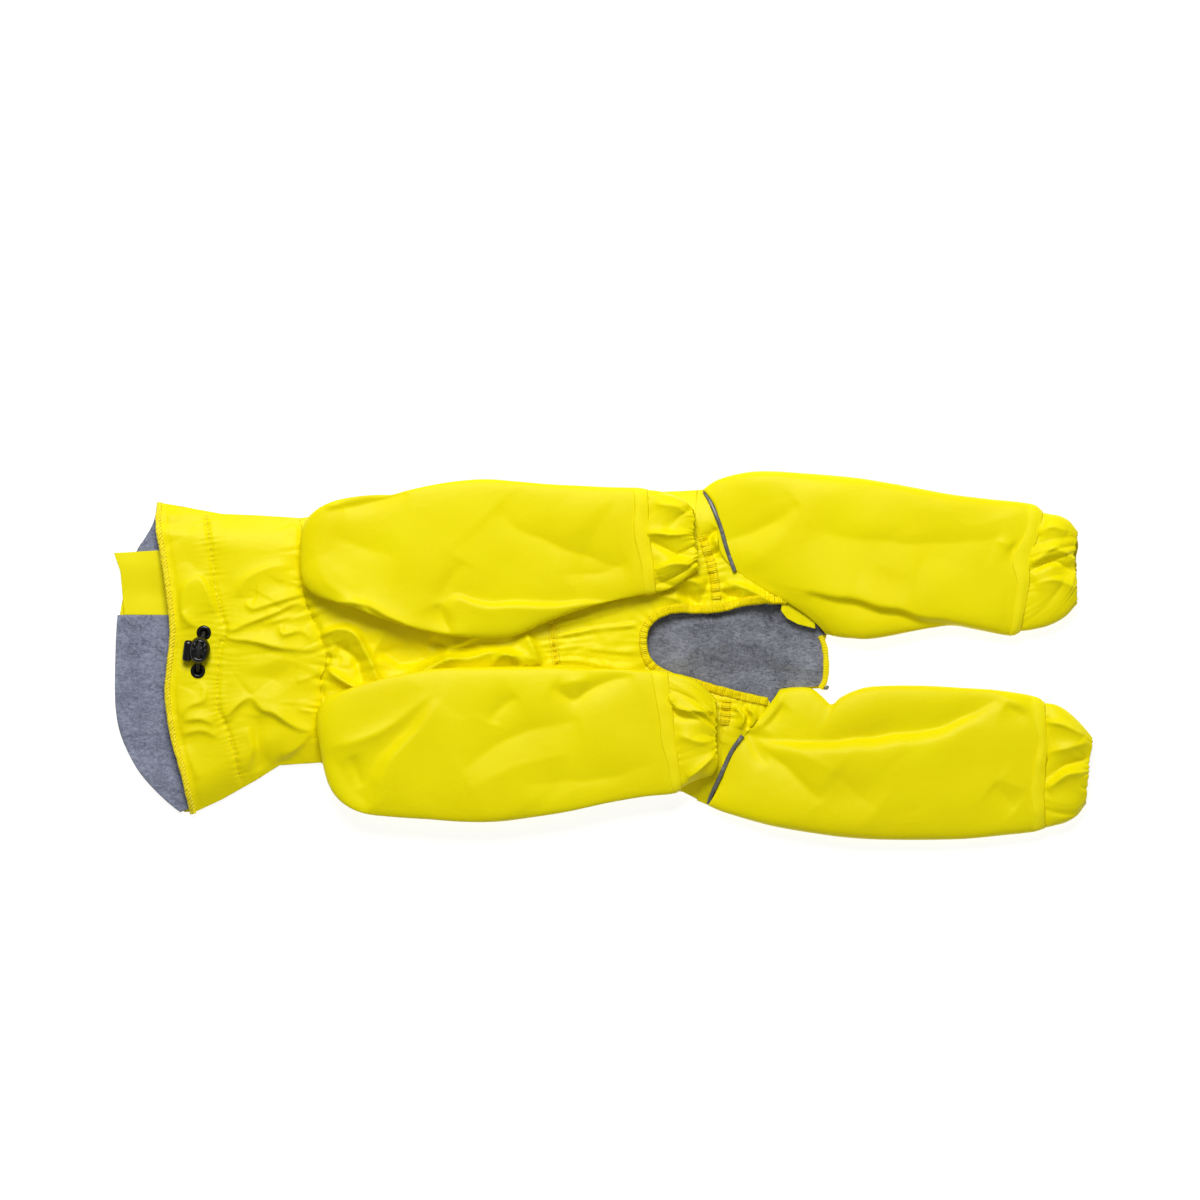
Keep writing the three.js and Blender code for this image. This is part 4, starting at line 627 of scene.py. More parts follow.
def buildTrims(lining, chest, chestCut):
    width = bindingLook["width"]
    way = np.gradient(openingEdge, axis=0)
    way /= np.linalg.norm(way, axis=1)[:, None]
    outward = openingEdge + np.stack([way[:, 1], -way[:, 0]], 1) * (width / 2 - 1.2)
    binding = band(outward, width, bindingLook["rise"], bellyHeight, bindingLook["pitch"], bindingLook["rib"], 12, 0.28, 0.5, 0.08)
    onChest = [makePiece(binding, "openingBinding", elasticRib, ["belly_binding"], 0.4)]
    strips = {
        "flankElasticUpper": ([(71, 84), (74.6, 72), (78, 60), (80, 49), (80.8, 39)], "flank_elastic_upper"),
        "flankElasticLower": ([(88, -32), (87.4, -40), (86.6, -49)], "flank_elastic_lower"),
        "chestElastic": ([(-35, 24), (-33, 9), (-31, -6)], "chest_elastic"),
    }
    for name, (line, node) in strips.items():
        wide = stripLook["width"] if "flank" in node else 3.2
        form = band(line, wide, stripLook["rise"], bellyHeight, stripLook["pitch"], stripLook["rib"], 8, 0.28, 0.3, 0.1)
        onChest.append(makePiece(form, name, elasticRib, [node], 0.3))
    seams = bmesh.new()
    for shift in (-2.4, -1.0):
        stitchesOn(seams, outward, lambda x, y: bellyHeight(x, y) + 1.3, 1.6, (1.5, 0.4, 0.45), 0.8, shift, True)
    for line, _ in strips.values():
        for shift in (-2.6, 0.0, 2.6):
            stitchesOn(seams, line, lambda x, y: bellyHeight(x, y) + 0.8, 1.6, (1.4, 0.4, 0.45), 0.8, shift, True)
    stitchesOn(seams, neckLine, lambda x, y: bellyHeight(x, y) + 0.1, 4.2, (1.6, 0.5, 0.4), 0.2, 0)
    onChest.append(makePiece(seams, "bellyStitches", shadeThread))
    hem = [(x - 2.2, y) for x, y in tailEdge.tolist()]
    form = band(hem, 4.6, 1.6, liningHeight, 1.9, 0.45, 8, 0.4, 1.2, 0.12)
    hem = makePiece(form, "tailHem", elasticRib, ["tail_hem"], 0.4)
    for name, node, line in (
        ("pipingUpper", "piping_upper", [(72.5, 114.5), (77, 106.5), (83.5, 90), (88.6, 72.5), (93.6, 58.5)]),
        ("pipingLower", "piping_lower", [(99, -56.5), (91.5, -67.5), (83.6, -84.5), (77.3, -98.5), (75.6, -104.5)]),
    ):
        form = band(line, 3.2, 2.6, lambda x, y: bellyHeight(x, y) + 0.5, 0, 0, 10, 0.8, 0.4)
        makePiece(form, name, greyPiping, [node], 0.3)
    loop = [(153.6, -21.4), (155.6, -23), (158.4, -23.4), (159.2, -21.6)]
    form = band(loop, 2.2, 1.2, lambda x, y: np.full(len(x), 2.6), 0, 0, 8, 0.3, 0.6)
    makePiece(form, "tailLoop", greyPiping, ["tail_loop"], 0.3)
    facing = [(126.6, 37), (126, 31), (130.2, 25.6), (138, 21.6), (150, 18.4), (150, 24), (138, 36)]
    form = cutSheet(facing, lambda x, y: 9.6 + 0.06 * (y - 20) + 0.3 * ripple(x, y, 7, 17), 0.8)
    made = makePiece(form, "thighFacing", yellowNylon, ["thigh_facing"], 0.8)
    print("trims made")


collarLook = {"edge": 2.7, "top": 12.2, "waist": 9.8, "wall": 0.9, "step": 1.1}
collarFolds = [
    ([(186, 628), (181, 608), (186, 588), (197, 575)], 2.0, 3, 7),
    ([(197, 575), (208, 592), (214, 613)], 2.0, 1.4, 6),
    ([(181, 612), (190, 624), (200, 627)], 1.4, 4, 1.6),
    ([(201, 682), (206, 690), (203, 702), (189, 706), (180, 718)], 1.8, 1.6, 6),
    ([(183, 721), (200, 719), (214, 724)], 2.0, 4, 1.4),
    ([(182, 735), (200, 730), (217, 737)], 1.6, 4, 1.4),
    ([(186, 745), (192, 762), (198, 780)], 1.2, 2, 5),
    ([(240, 598), (241, 586), (252, 575), (272, 567), (288, 566)], 2.0, 3, 9),
    ([(247, 603), (254, 609), (272, 602), (309, 594)], 2.6, 6, 1.2),
    ([(224, 633), (244, 625), (272, 613), (297, 604), (310, 609)], 2.4, 4, 1.2),
    ([(262, 624), (284, 619), (308, 614)], 1.4, 3, 1.4),
    ([(279, 626), (284, 636), (300, 631), (310, 638)], 2.4, 3, 1.2),
    ([(220, 636), (254, 642), (288, 649), (322, 649)], 2.8, 6, 1.2),
    ([(262, 655), (290, 660), (318, 664)], 0.8, 8, 5),
    ([(224, 717), (238, 706), (251, 695)], 2.4, 6, 1.6),
    ([(251, 695), (262, 709), (274, 713), (297, 728), (316, 732)], 3.2, 9, 1.2),
    ([(257, 716), (256, 745), (260, 772)], -2.4, 5, 6),
    ([(247, 728), (250, 752), (246, 772)], 1.6, 1.4, 3),
    ([(272, 765), (294, 750), (314, 732)], 2.6, 7, 1.2),
    ([(214, 520), (217, 560), (222, 590)], -1.0, 5, 6),
    ([(296, 682), (310, 679), (320, 672)], 1.8, 3, 1.2),
    ([(296, 706), (310, 712), (318, 722)], 1.8, 3, 1.2),
    ([(186, 650), (178, 690), (180, 730)], 0.8, 4, 4),
]
lock = {"centre": (-280.8, 3.2), "size": (15.4, 19.4, 13.8), "turn": -0.12, "base": 12.1}


def collarHeight(x, y):
    fromSide = fromSides(collarSides, x, y)
    away, side, along, _ = alongLine(x, y, channelSeam)
    toNeck = alongLine(x, y, neckLine)[0]
    middle = collarLook["top"] + (collarLook["waist"] - collarLook["top"]) * np.clip(1 - toNeck / 50, 0, 1)
    clear = smoothstep(0, 10, fromSide)
    calm = 1 - np.exp(-(((x - lock["centre"][0]) / 8) ** 2) - ((y - lock["centre"][1]) / 15) ** 2)
    rim = alongLine(x, y, softLine(collarRim))[0]
    stitched = -1.7 * np.exp(-((away / 1.6) ** 1.5)) - 0.7 * np.exp(-(((rim - 6.5) / 1.6) ** 2))
    puckers = (
        gathers(x, y, channelSeam, 3.8, 1.9, 3.6, 81)
        + gathers(x, y, neckLine, 8.5, 4.6, 8, 41)
        + gathers(x, y, softLine(collarRim), 4.6, 0.5, 4, 95)
    )
    nearLock = np.exp(-(((y - 3) / 26) ** 2)) * np.exp(-(((x + 272) / 20) ** 2))
    drawn = 0.5 * nearLock * (np.abs(np.sin(y / 1.35 + 1.2 * ripple(y, x * 0.4, 14, 66))) - 0.6)
    neckDip = -2.4 * np.exp(-((toNeck / 2.6) ** 2))
    relief = foldRelief(x, y, collarFolds, 1.5, 1.35) + stitched + puckers + drawn + neckDip + 0.4 * ripple(x, y, 34, 6) + 1.0 * crumple(x, y, 40, 29)
    low = 1 - 0.5 * smoothstep(-226, -206, x)
    return risen(fromSide, collarLook["edge"], middle) + clear * calm * low * relief


def buildCollar():
    rim = softLine(collarRim).tolist()
    top = [(x, high) for x, high, _ in collarSides.T if -305 < x < -205]
    bottom = [(x, low) for x, _, low in collarSides.T if -287 < x < -197]
    outline = [*rim, *bottom, *neckLine.tolist()[::-1], *top[::-1]]
    form = cutSheet(outline, collarHeight, collarLook["step"])
    front = makePiece(form, "collarCloth", yellowNylon, ["collar_front"], collarLook["wall"], fleeceGrey)
    under = [*softLine(backRim).tolist(), *bottom, *neckLine.tolist()[::-1], *top[::-1]]
    form = cutSheet(nearestInset(under, 1.5), lambda x, y: np.full(len(x), 1.2), 3)
    back = makePiece(form, "collarBackCloth", yellowNylon, ["collar_back_shell"], 1.1)
    inner = [tuple(point) for point in nearestInset(under, 0.1)]
    for name, node, low, high, area in (
        ("collarFleeceLower", "collar_lining_lower", -130, 28, 0.0175),
        ("collarFleeceUpper", "collar_lining_upper", 64, 130, 0.0038),
    ):
        edges = [point for point in inner if low < point[1] < high and point[0] < -292]
        edges += [(x, yLow + 5) for x, _, yLow in collarSides.T if low < 0 and -292 < x < -200]
        edges += [(x, yHigh - 5) for x, yHigh, _ in collarSides.T if high > 100 and -305 < x < -200]
        split = high if low < 0 else low
        xs = [np.interp(split, [-19, 24, 49, 72.5, 82], [-340, -338.5, -333.5, -325, -319]), -209]
        ring = [*edges, (xs[1], split), (xs[0], split)] if low < 0 else [*edges, (xs[1], split)]
        form = cutSheet(orderedRing(ring), lambda x, y: 3.1 + 1.3 * smoothstep(18, 26, y) * (y < 40) + 0.5 * np.clip(ripple(x, y, 26, 12), -1, 1) + 0.08 * ripple(x, y, 3, 13) - collarHem(x, y), 1.25)
        piece = makePiece(form, name, fleeceGrey, [node], 1.3)
    tab = [(-341.5, 71.5), (-270, 75.5), (-266, 27.5), (-334.5, 28), (-337, 58.5)]
    form = cutSheet(tab, lambda x, y: 2.9 + 2.1 * smoothstep(38, 66, y) + 0.6 * smoothstep(28, 45, y) * ripple(x, y, 40, 15), 1.1)
    piece = makePiece(form, "placketTab", tapeNylon, ["placket_tab"], 1.0)
    rimLine = [(x + 1.5, y) for x, y in rim]
    form = band(rimLine, 4.4, 0.8, collarHeight, 2.4, 1.5, 10, 0.4, 0.3, 0.1, 0.9)
    onCollar = [makePiece(form, "collarRimStitches", yellowThread, (), 0.3)]
    seams = bmesh.new()
    stitchesOn(seams, channelSeam, lambda x, y: collarHeight(x, y) + 0.1, 2.6, (1.7, 0.7, 0.6), 0.25, 0)
    onCollar.append(makePiece(seams, "channelStitches", shadeThread))
    print("collar made")


def collarHem(x, y):  # grooves of the fleece's hem and of its one seam
    hem = np.abs(alongLine(x, y, softLine(backRim))[0] - 4.4)
    seam = alongLine(x, y, trace((112, 741), (135, 737), (175, 735), (230, 728)))[0]
    return 0.8 * np.exp(-((hem / 0.9) ** 2)) + 0.7 * np.exp(-((seam / 0.7) ** 2))


def orderedRing(points):  # sorts a loose set of outline points into one ring round their middle
    points = np.array(points)
    middle = points.mean(0)
    order = np.argsort(np.arctan2(points[:, 1] - middle[1], points[:, 0] - middle[0]))
    return [tuple(point) for point in points[order]]


def buildLock():
    cx, cy = lock["centre"]
    base = lock["base"]
    form = bmesh.new()
    bmesh.ops.create_uvsphere(form, u_segments=64, v_segments=40, radius=1)
    x, y, z = places(form)
    holes = [(0.0, 0.45, 0.40, 0.17), (0.0, -0.42, 0.42, 0.19), (-0.42, 0.14, 0.10, 0.10), (0.42, 0.14, 0.10, 0.10)]
    dip = np.zeros(len(x))
    for hx, hy, rx, ry in holes:
        dip = np.maximum(dip, np.exp(-((((x - hx) / rx) ** 2 + ((y - hy) / ry) ** 2) ** 2)))
    z = np.where(z > 0, z - 0.30 * dip * (z > 0.3), np.maximum(z, -0.84))
    ridge = 0.03 * np.exp(-((x + 0.72) / 0.05) ** 2)
    sx, sy, sz = lock["size"]
    move(form, x * sx / 2, y * sy / 2, z * sz / 2 * (1 + ridge))
    turn = Matrix.Translation((cx, cy, base + 6.0)) @ Matrix.Rotation(lock["turn"], 4, "Z")
    bmesh.ops.transform(form, matrix=turn, verts=form.verts)
    body = makePiece(form, "lockBody", lockPlastic, ["cord_lock_body"])
    form = bmesh.new()
    bmesh.ops.create_cube(form, size=1, matrix=Matrix.Diagonal((6.2, 15.2, 7.8, 1)))
    bmesh.ops.bevel(form, geom=form.edges, affect="EDGES", offset=2.6, segments=6, profile=0.5, material=-1)
    place = Matrix.Translation((cx - 8.2, cy - 0.3, base + 5.2)) @ Matrix.Rotation(lock["turn"], 4, "Z")
    bmesh.ops.transform(form, matrix=place, verts=form.verts)
    button = makePiece(form, "lockButton", lockPlastic, ["cord_lock_button"])
    eyes = {"eyeletUpper": (-278, 15.6, "eyelet_upper"), "eyeletLower": (-282.2, -11.2, "eyelet_lower")}
    for name, (ex, ey, node) in eyes.items():
        low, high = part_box(node)
        form = bmesh.new()
        profile = [(0.9, 0.1), (2.3, 0.2), (2.6, 0.75), (3.3, 1.15), (4.4, 1.05), (5.1, 0.45), (5.2, -0.2)]
        verts = [form.verts.new((r, 0, h)) for r, h in profile]
        edges = [form.edges.new(pair) for pair in zip(verts, verts[1:])]
        bmesh.ops.spin(form, geom=[*verts, *edges], cent=(0, 0, 0), axis=(0, 0, 1), angle=2 * math.pi, steps=48, use_merge=True)
        bmesh.ops.remove_doubles(form, verts=form.verts, dist=0.001)
        bmesh.ops.recalc_face_normals(form, faces=form.faces)
        bmesh.ops.transform(form, matrix=Matrix.Translation((ex, ey, low.z / mm)), verts=form.verts)
        makePiece(form, name, eyeletMetal, [node], 0.25)
    (ux, uy, _), (dx, dy, _) = eyes.values()
    route = [
        (ux, uy, base - 0.9), (ux - 0.1, uy - 0.8, base + 2.5), (ux - 1, uy - 4.4, base + 6),
        (cx + 0.6, cy + 6.2, base + 8.5), (cx + 0.4, cy + 4.2, base + 11.2), (cx + 0.2, cy + 2.4, base + 12.9),
        (cx, cy, base + 13.3), (cx - 0.2, cy - 2.4, base + 12.9), (cx - 0.4, cy - 4.2, base + 11.2),
        (cx - 0.6, cy - 6.2, base + 8.5), (dx + 0.5, dy + 4.2, base + 6), (dx + 0.1, dy + 0.8, base + 2.5), (dx, dy, base - 0.9),
    ]
    curve = bpy.data.curves.new("drawCord", "CURVE")
    curve.dimensions = "3D"
    curve.bevel_depth = 1.3 * mm
    curve.bevel_resolution = 6
    curve.use_fill_caps = True
    line = softLine(route, 0.8)
    spline = curve.splines.new("POLY")
    spline.points.add(len(line) - 1)
    for point, place in zip(spline.points, line):
        point.co = (*(place * mm), 1)
    curve.materials.append(cordBlack)
    cord = bpy.data.objects.new("drawCord", curve)
    bpy.context.scene.collection.objects.link(cord)
    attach(cord, "root")
    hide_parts("drawcord")
    long = float(np.linalg.norm(np.diff(line, axis=0), axis=1).sum()) * mm
    print("drawcord shows", round(long, 4))
    print("cord lock made")


frontUpperRows = [
    (-205, 11.9, -112, 11.9, 96, 44, 0), (-209, 15.5, -111.6, 12, 99, 41, 0), (-210.3, 19, -111, 12.1, 102, 39, 0),
    (-208, 23, -110, 12.1, 106, 37, 0), (-201, 26.4, -108, 12.1, 110, 35, 0), (-186, 28, -106, 12.1, 112, 31, 0),
    (-166, 28, -102, 12.1, 112, 24, 0), (-142, 28, -96, 12.1, 117, 18, 0), (-116, 28, -88, 12.1, 121, 13.5, 0),
    (-88, 28, -74, 12.1, 123, 12, 0), (-62, 28, -56, 12.1, 121.5, 14, 0), (-38, 27.6, -36, 12.1, 119.5, 23, 2),
    (-14, 27, -14, 12.1, 118.5, 32.5, -4), (8, 26.2, 8, 12.1, 117.5, 38.5, -7), (26.5, 25.4, 26.5, 12.1, 117, 42, -8),
    (35.5, 24, 35.5, 12.4, 115.4, 43.8, -6),
]
frontLowerRows = [
    (-192, 11.9, -112, 11.9, -97, -34, 14), (-195, 15.5, -111.6, 12, -101, -31, 14), (-196.3, 19, -111, 12.1, -105, -28, 14),
    (-194, 23, -110, 12.1, -109, -25, 13), (-187, 26.4, -108, 12.1, -112, -22, 11), (-174, 28, -105, 12.1, -113, -18, 8),
    (-156, 28, -100, 12.1, -114, -13.5, 5), (-134, 28, -93, 12.1, -115, -10, 3), (-108, 28, -82, 12.1, -116.5, -8.5, 2),
    (-80, 28, -68, 12.1, -116.5, -8, 2), (-52, 28, -48, 12.1, -113.5, -8, 3), (-26, 27.6, -26, 12.1, -109.5, -8, 5),
    (0, 27, 0, 12.1, -103.5, -9, 8), (24, 26.2, 24, 12.1, -99, -9.8, 12), (42.5, 25.4, 42.5, 12.1, -96.8, -10.4, 16),
    (51.5, 24, 51.5, 12.4, -92.4, -12.2, 10),
]
hindUpperRows = [  # outer end, inner end, bow, base, height
    (71.5, 116, 157.5, 14.5, -27, 0, 12), (80, 122, 160, 14, -24, 0, 14), (92, 126, 164, 13, -20, 0, 16.5),
    (106, 128.5, 170, 12, -15, 0, 19), (122, 128.7, 177, 11.5, -10, 0, 21), (140, 127.5, 185, 11, -6, 0, 22),
    (160, 126, 195, 12, -3, 0, 22), (180, 124, 206, 14, -1, 0, 21.5), (202, 120.5, 218, 16.5, 0, 0, 21),
    (224, 116.5, 232, 19, 0, 0, 20), (246, 112.5, 247, 20.5, 0, 0, 19), (270, 109.5, 264, 17.5, 0, 0, 18),
    (300.5, 106, 286.5, 13.5, 0, 0, 17),
    (309.5, 99.8, 293.5, 16.8, 0, 0, 15.6),
]
hindLowerRows = [
    (75, -105.5, 125, -24, -6, 0, 12), (84, -109.5, 135, -22.6, -8, 0, 14.5), (95, -113, 147, -23.2, -9, 0, 17),
    (107, -116.5, 155.5, -29.5, -7, 0, 19), (120, -119.8, 161.5, -34.5, -6, 0, 20.5), (134, -122.5, 168, -29.5, -5, 0, 21.5),
    (150, -125, 176, -25.5, -3, 0, 22), (168, -127.5, 186, -22.5, -1, 0, 22), (188, -129, 199, -21.5, 0, 0, 21.5),
    (210, -129.5, 214, -21.3, 0, 0, 21), (232, -129.5, 233, -21.7, 0, 0, 20), (256, -128.8, 254, -23, 0, 0, 19),
    (280, -126.5, 277, -24.5, 0, 0, 18), (302.5, -124, 302, -28.5, 0, 0, 17),
    (311, -120.8, 311, -33.8, 0, 0, 15.6),
]
frontUpperFolds = [
    ([(326, 513), (368, 503), (408, 495)], -2.4, 3, 5),
    ([(326, 509), (345, 505)], 1.4, 3, 3),
    ([(333, 535), (365, 548), (400, 558)], -1.8, 14, 12),
    ([(463, 560), (447, 585), (439, 602)], -1.5, 6, 6),
    ([(497, 507), (518, 528), (578, 554), (628, 569)], -2.6, 10, 15),
    ([(560, 574), (600, 573), (628, 560)], -1.2, 8, 8),
    ([(442, 612), (447, 600), (457, 594), (473, 599), (520, 602), (636, 599)], -1.8, 9, 0.9),
    ([(449, 622), (453, 606), (462, 600), (480, 606), (530, 609), (620, 604)], 1.2, 2.2, 7),
    ([(438, 604), (446, 626), (452, 638)], -2.6, 3, 6),
    ([(320, 604), (360, 603), (394, 619), (431, 633), (470, 635)], 3.0, 4, 0.9),
    ([(322, 606), (360, 606), (394, 622), (431, 637)], 0.9, 1.2, 2.5),
    ([(361, 604), (368, 614), (372, 628)], 2.4, 1.2, 5),
    ([(316, 560), (330, 585), (356, 598)], 1.2, 8, 6),
    ([(330, 610), (350, 606), (362, 604)], 1.4, 3, 2),
]
frontLowerFolds = [
    ([(552, 686), (575, 700), (598, 686), (632, 674)], -2.8, 5, 5),
    ([(560, 683), (590, 680)], 1.2, 5, 4),
    ([(433, 697), (405, 731), (374, 765), (364, 812)], -2.0, 3, 12),
    ([(440, 700), (414, 734), (384, 770), (376, 812)], 2.0, 16, 3),
    ([(337, 745), (381, 731), (431, 696)], 2.2, 4, 6),
    ([(352, 756), (362, 786)], -2.0, 3, 3),
    ([(517, 696), (499, 710), (494, 723)], -1.6, 4, 5),
    ([(462, 770), (512, 736), (580, 719)], -2.2, 10, 15),
    ([(525, 783), (604, 778), (652, 764)], -1.6, 12, 12),
    ([(468, 790), (520, 765), (575, 752)], 1.2, 12, 12),
    ([(330, 748), (345, 775), (372, 806)], -1.4, 6, 6),
]
hindUpperFolds = [
    ([(722, 542), (765, 528), (798, 506)], -2.6, 7, 10),
    ([(738, 573), (772, 546), (800, 510)], 1.0, 9, 12),
    ([(806, 530), (877, 542), (957, 542), (1014, 536)], -1.3, 6, 12),
    ([(802, 590), (847, 598), (896, 609), (945, 621), (1002, 631)], 2.6, 14, 1.6),
    ([(806, 596), (850, 604), (900, 616), (945, 627)], -2.2, 1.8, 7),
    ([(1012, 545), (1028, 562)], -2.4, 4, 4),
    ([(996, 540), (1014, 547)], 1.2, 4, 4),
    ([(755, 584), (790, 600), (820, 628)], 1.0, 6, 6),
    ([(770, 620), (800, 632), (812, 622)], 1.4, 4, 4),
]
hindLowerFolds = [
    ([(742, 734), (791, 741), (846, 739), (889, 735), (926, 730), (963, 718), (1000, 699)], -4.8, 13, 3.0),
    ([(760, 748), (800, 752), (860, 750), (926, 741), (975, 725), (1004, 706)], 1.0, 6, 14),
    ([(745, 736), (768, 764)], -1.8, 3, 4),
    ([(747, 734), (791, 772), (820, 802)], -2.2, 5, 7),
    ([(770, 745), (800, 752), (840, 776)], 1.0, 7, 7),
    ([(834, 772), (875, 808)], -1.3, 9, 9),
    ([(788, 686), (767, 719), (750, 733)], 2.4, 4, 5),
    ([(765, 729), (784, 704)], -2.4, 4, 4),
    ([(1000, 698), (1022, 706), (1042, 716), (1048, 724)], 2.0, 3, 5),
    ([(1004, 706), (1035, 722)], -1.8, 5, 5),
    ([(994, 786), (1016, 808)], -1.5, 8, 8),
    ([(1030, 790), (1000, 778)], 0.8, 6, 6),
]
legLook = {"step": 1.85, "around": 164, "power": 0.5, "wall": 0.8, "swell": 0.6, "crumple": 0.7}


def legRings(rows, leaning, folds, seamLine, bends, seed):
    rows = softLine(rows, legLook["step"] * 1.3)
    rings = []
    for row in rows:
        if leaning:
            xTop, zTop, xLow, zLow, outer, inner, skew = row
            halfHeight = math.hypot(xTop - xLow, zTop - zLow) / 2
        else:
            xOuter, outer, xInner, inner, bow, base, height = row
            halfHeight = height * 0.58
        half = (outer - inner) / 2
        side, up = sectionOf(abs(half), halfHeight, legLook["around"], legLook["power"])
        y = (outer + inner) / 2 + side * half
        if leaning:
            x = (xTop + xLow) / 2 + up * (xTop - xLow) / 2 + skew * side / 2
            z = (zTop + zLow) / 2 + up * (zTop - zLow) / 2
            steep = min(max((zTop - zLow) / 14, 0), 1)
        else:
            x = (xOuter + xInner) / 2 + side * (xOuter - xInner) / 2 + bow * (1 - side**2) ** 3
            z = np.maximum(base, base + height * 0.42 + up * halfHeight)
            steep = 1
        if endShare := smoothstep(0.86, 1, len(rings) / len(rows)):
            x = x + pinched(y, up, bends) * endShare
        onTop = smoothstep(0.1, 0.95, up) * steep
        relief = foldRelief(x, y, folds, 1.5, 1.3) + legLook["swell"] * ripple(x, y, 46, seed) + legLook["crumple"] * crumple(x, y, 80, seed + 5)
        away, past, _, _ = alongLine(x, y, seamLine)
        relief = relief * smoothstep(0, 12, -away * past)
        z = z + onTop * relief
        rings.append(np.stack([x, y, z], 1))
    return np.array(rings)


legs = {
    "frontLegUpper": (frontUpperRows, True, frontUpperFolds, "front_leg_upper", [(22, 117), (30, 42)], (0.27, 0.225)),
    "frontLegLower": (frontLowerRows, True, frontLowerFolds, "front_leg_lower", [(34, -10), (50, -97)], (0.26, 0.225)),
    "hindLegUpper": (hindUpperRows, False, hindUpperFolds, "hind_leg_upper", [(300, 106), (287, 13)], (0.27, 0.21)),
    "hindLegLower": (hindLowerRows, False, hindLowerFolds, "hind_leg_lower", [(302, -28), (302, -124)], (0.27, 0.225)),
}


def buildLegs():
    made = {}
    for seed, (name, (rows, leaning, folds, node, seamLine, cut)) in enumerate(legs.items()):
        bends = seamBends[node.replace("_leg", "")]
        rings = legRings(rows, leaning, folds, seamLine, bends, 100 + 10 * seed)
        form = wrapTube(rings, cut[0] / mm, cut[1] / mm)
        made[name] = makePiece(form, name, legNylon, [node], legLook["wall"])
    print("legs made")
    return made


tapes = {  # x, skew, outer, inner, base, top
    "front_tape_upper": [(26.3, -8, 117.3, 41.7, 12, 25.7), (31, -7, 116.8, 42.3, 12, 25.9), (35.4, -6, 116, 43.2, 12, 24.6)],
    "front_tape_lower": [(42.3, 16, -97, -10.2, 12, 25.7), (47, 13, -96, -10.6, 12, 25.9), (51.5, 10, -93, -11.6, 12, 24.6)],
    "hind_tape_upper": [(293.3, 14, 106.2, 13.3, 0, 17.3), (297.5, 15, 104.5, 14, 0, 17.4), (301.5, 16, 100.5, 16, 0, 16)],
    "hind_tape_lower": [(302.1, 0.5, -124.2, -28.3, 0, 17.3), (306.8, 0, -123, -30, 0, 17.4), (310.8, 0, -121.5, -33, 0, 16)],
}
cuffs = {
    "front_cuff_upper": [(35.8, -6, 115.4, 43.6, 12, 24), (44, -3, 114, 45.5, 12, 25), (53, -2, 111, 50, 12, 24.5), (61, -2, 107, 56, 12, 22.5), (66.5, -3, 101.5, 61, 12, 20.5)],
    "front_cuff_lower": [(51.9, 10, -92.4, -12, 12, 24), (60, 6, -89, -14, 12, 25), (68, 4, -86, -17.5, 12, 24.5), (76, 4, -83.5, -24, 12, 22.5), (81, 1, -79, -31, 12, 20.5)],
    "hind_cuff_upper": [(301.9, 15.8, 99.8, 16.6, 0, 15.5), (309, 12, 98.8, 18, 0, 17), (318, 8, 97, 21, 0, 17), (327, 4, 93, 27, 0, 15.5), (333.5, 1, 87, 36, 0, 13)],
    "hind_cuff_lower": [(311.2, 0, -121, -33.6, 0, 15.5), (318, 0, -119.5, -35, 0, 17), (326, 0, -117, -39, 0, 17), (334, -1, -112.5, -46.5, 0, 15.5), (341, -2, -104, -56, 0, 13)],
}
cuffFolds = {
    "front_cuff_upper": [
        ([(645, 534), (668, 535), (694, 533)], 2.6, 3, 3), ([(646, 540), (672, 552), (692, 556)], -2.0, 3, 3),
        ([(656, 572), (675, 562), (696, 568)], 2.2, 3, 3), ([(655, 580), (676, 586), (692, 582)], -1.6, 3, 3),
        ([(655, 503), (676, 508), (692, 516)], 1.6, 3, 4),
    ],
    "front_cuff_lower": [
        ([(669, 694), (676, 705), (692, 711), (712, 712)], 2.8, 3, 3), ([(668, 703), (680, 716), (700, 720)], -2.0, 3, 3),
        ([(686, 778), (700, 768), (716, 755)], 2.2, 3, 2), ([(678, 735), (700, 742), (714, 740)], 1.6, 4, 4),
    ],
    "hind_cuff_upper": [
        ([(1030, 563), (1055, 548), (1078, 561)], 2.4, 3, 4), ([(1031, 572), (1052, 560), (1074, 574)], -1.8, 3, 3),
        ([(1034, 585), (1056, 580), (1078, 592)], 1.8, 4, 4), ([(1036, 535), (1052, 528), (1068, 532)], 1.6, 4, 4),
    ],
    "hind_cuff_lower": [
        ([(1046, 722), (1062, 724), (1082, 736)], 2.0, 3, 4), ([(1046, 790), (1066, 776), (1086, 770)], 2.4, 3, 4),
        ([(1046, 780), (1068, 765), (1088, 757)], -2.0, 3, 3), ([(1046, 752), (1066, 748), (1088, 742)], 1.8, 4, 4),
    ],
}
cuffLook = {"around": 196, "waves": 7, "depth": 2.3, "pucker": 0.8}


# Where the seam between a leg and its cuff is pulled in or out: height up the page, shift, spread
seamBends = {
    "front_upper": [(85, -3, 14)], "front_lower": [(-60, -1.5, 10)],
    "hind_upper": [(67, -7, 12)], "hind_lower": [(-62, 4, 12), (-98, -2, 9)],
}


def pinched(y, up, bends):
    return sum((shift * np.exp(-(((y - at) / wide) ** 2)) for at, shift, wide in bends), 0 * y) * smoothstep(-0.2, 0.6, up)


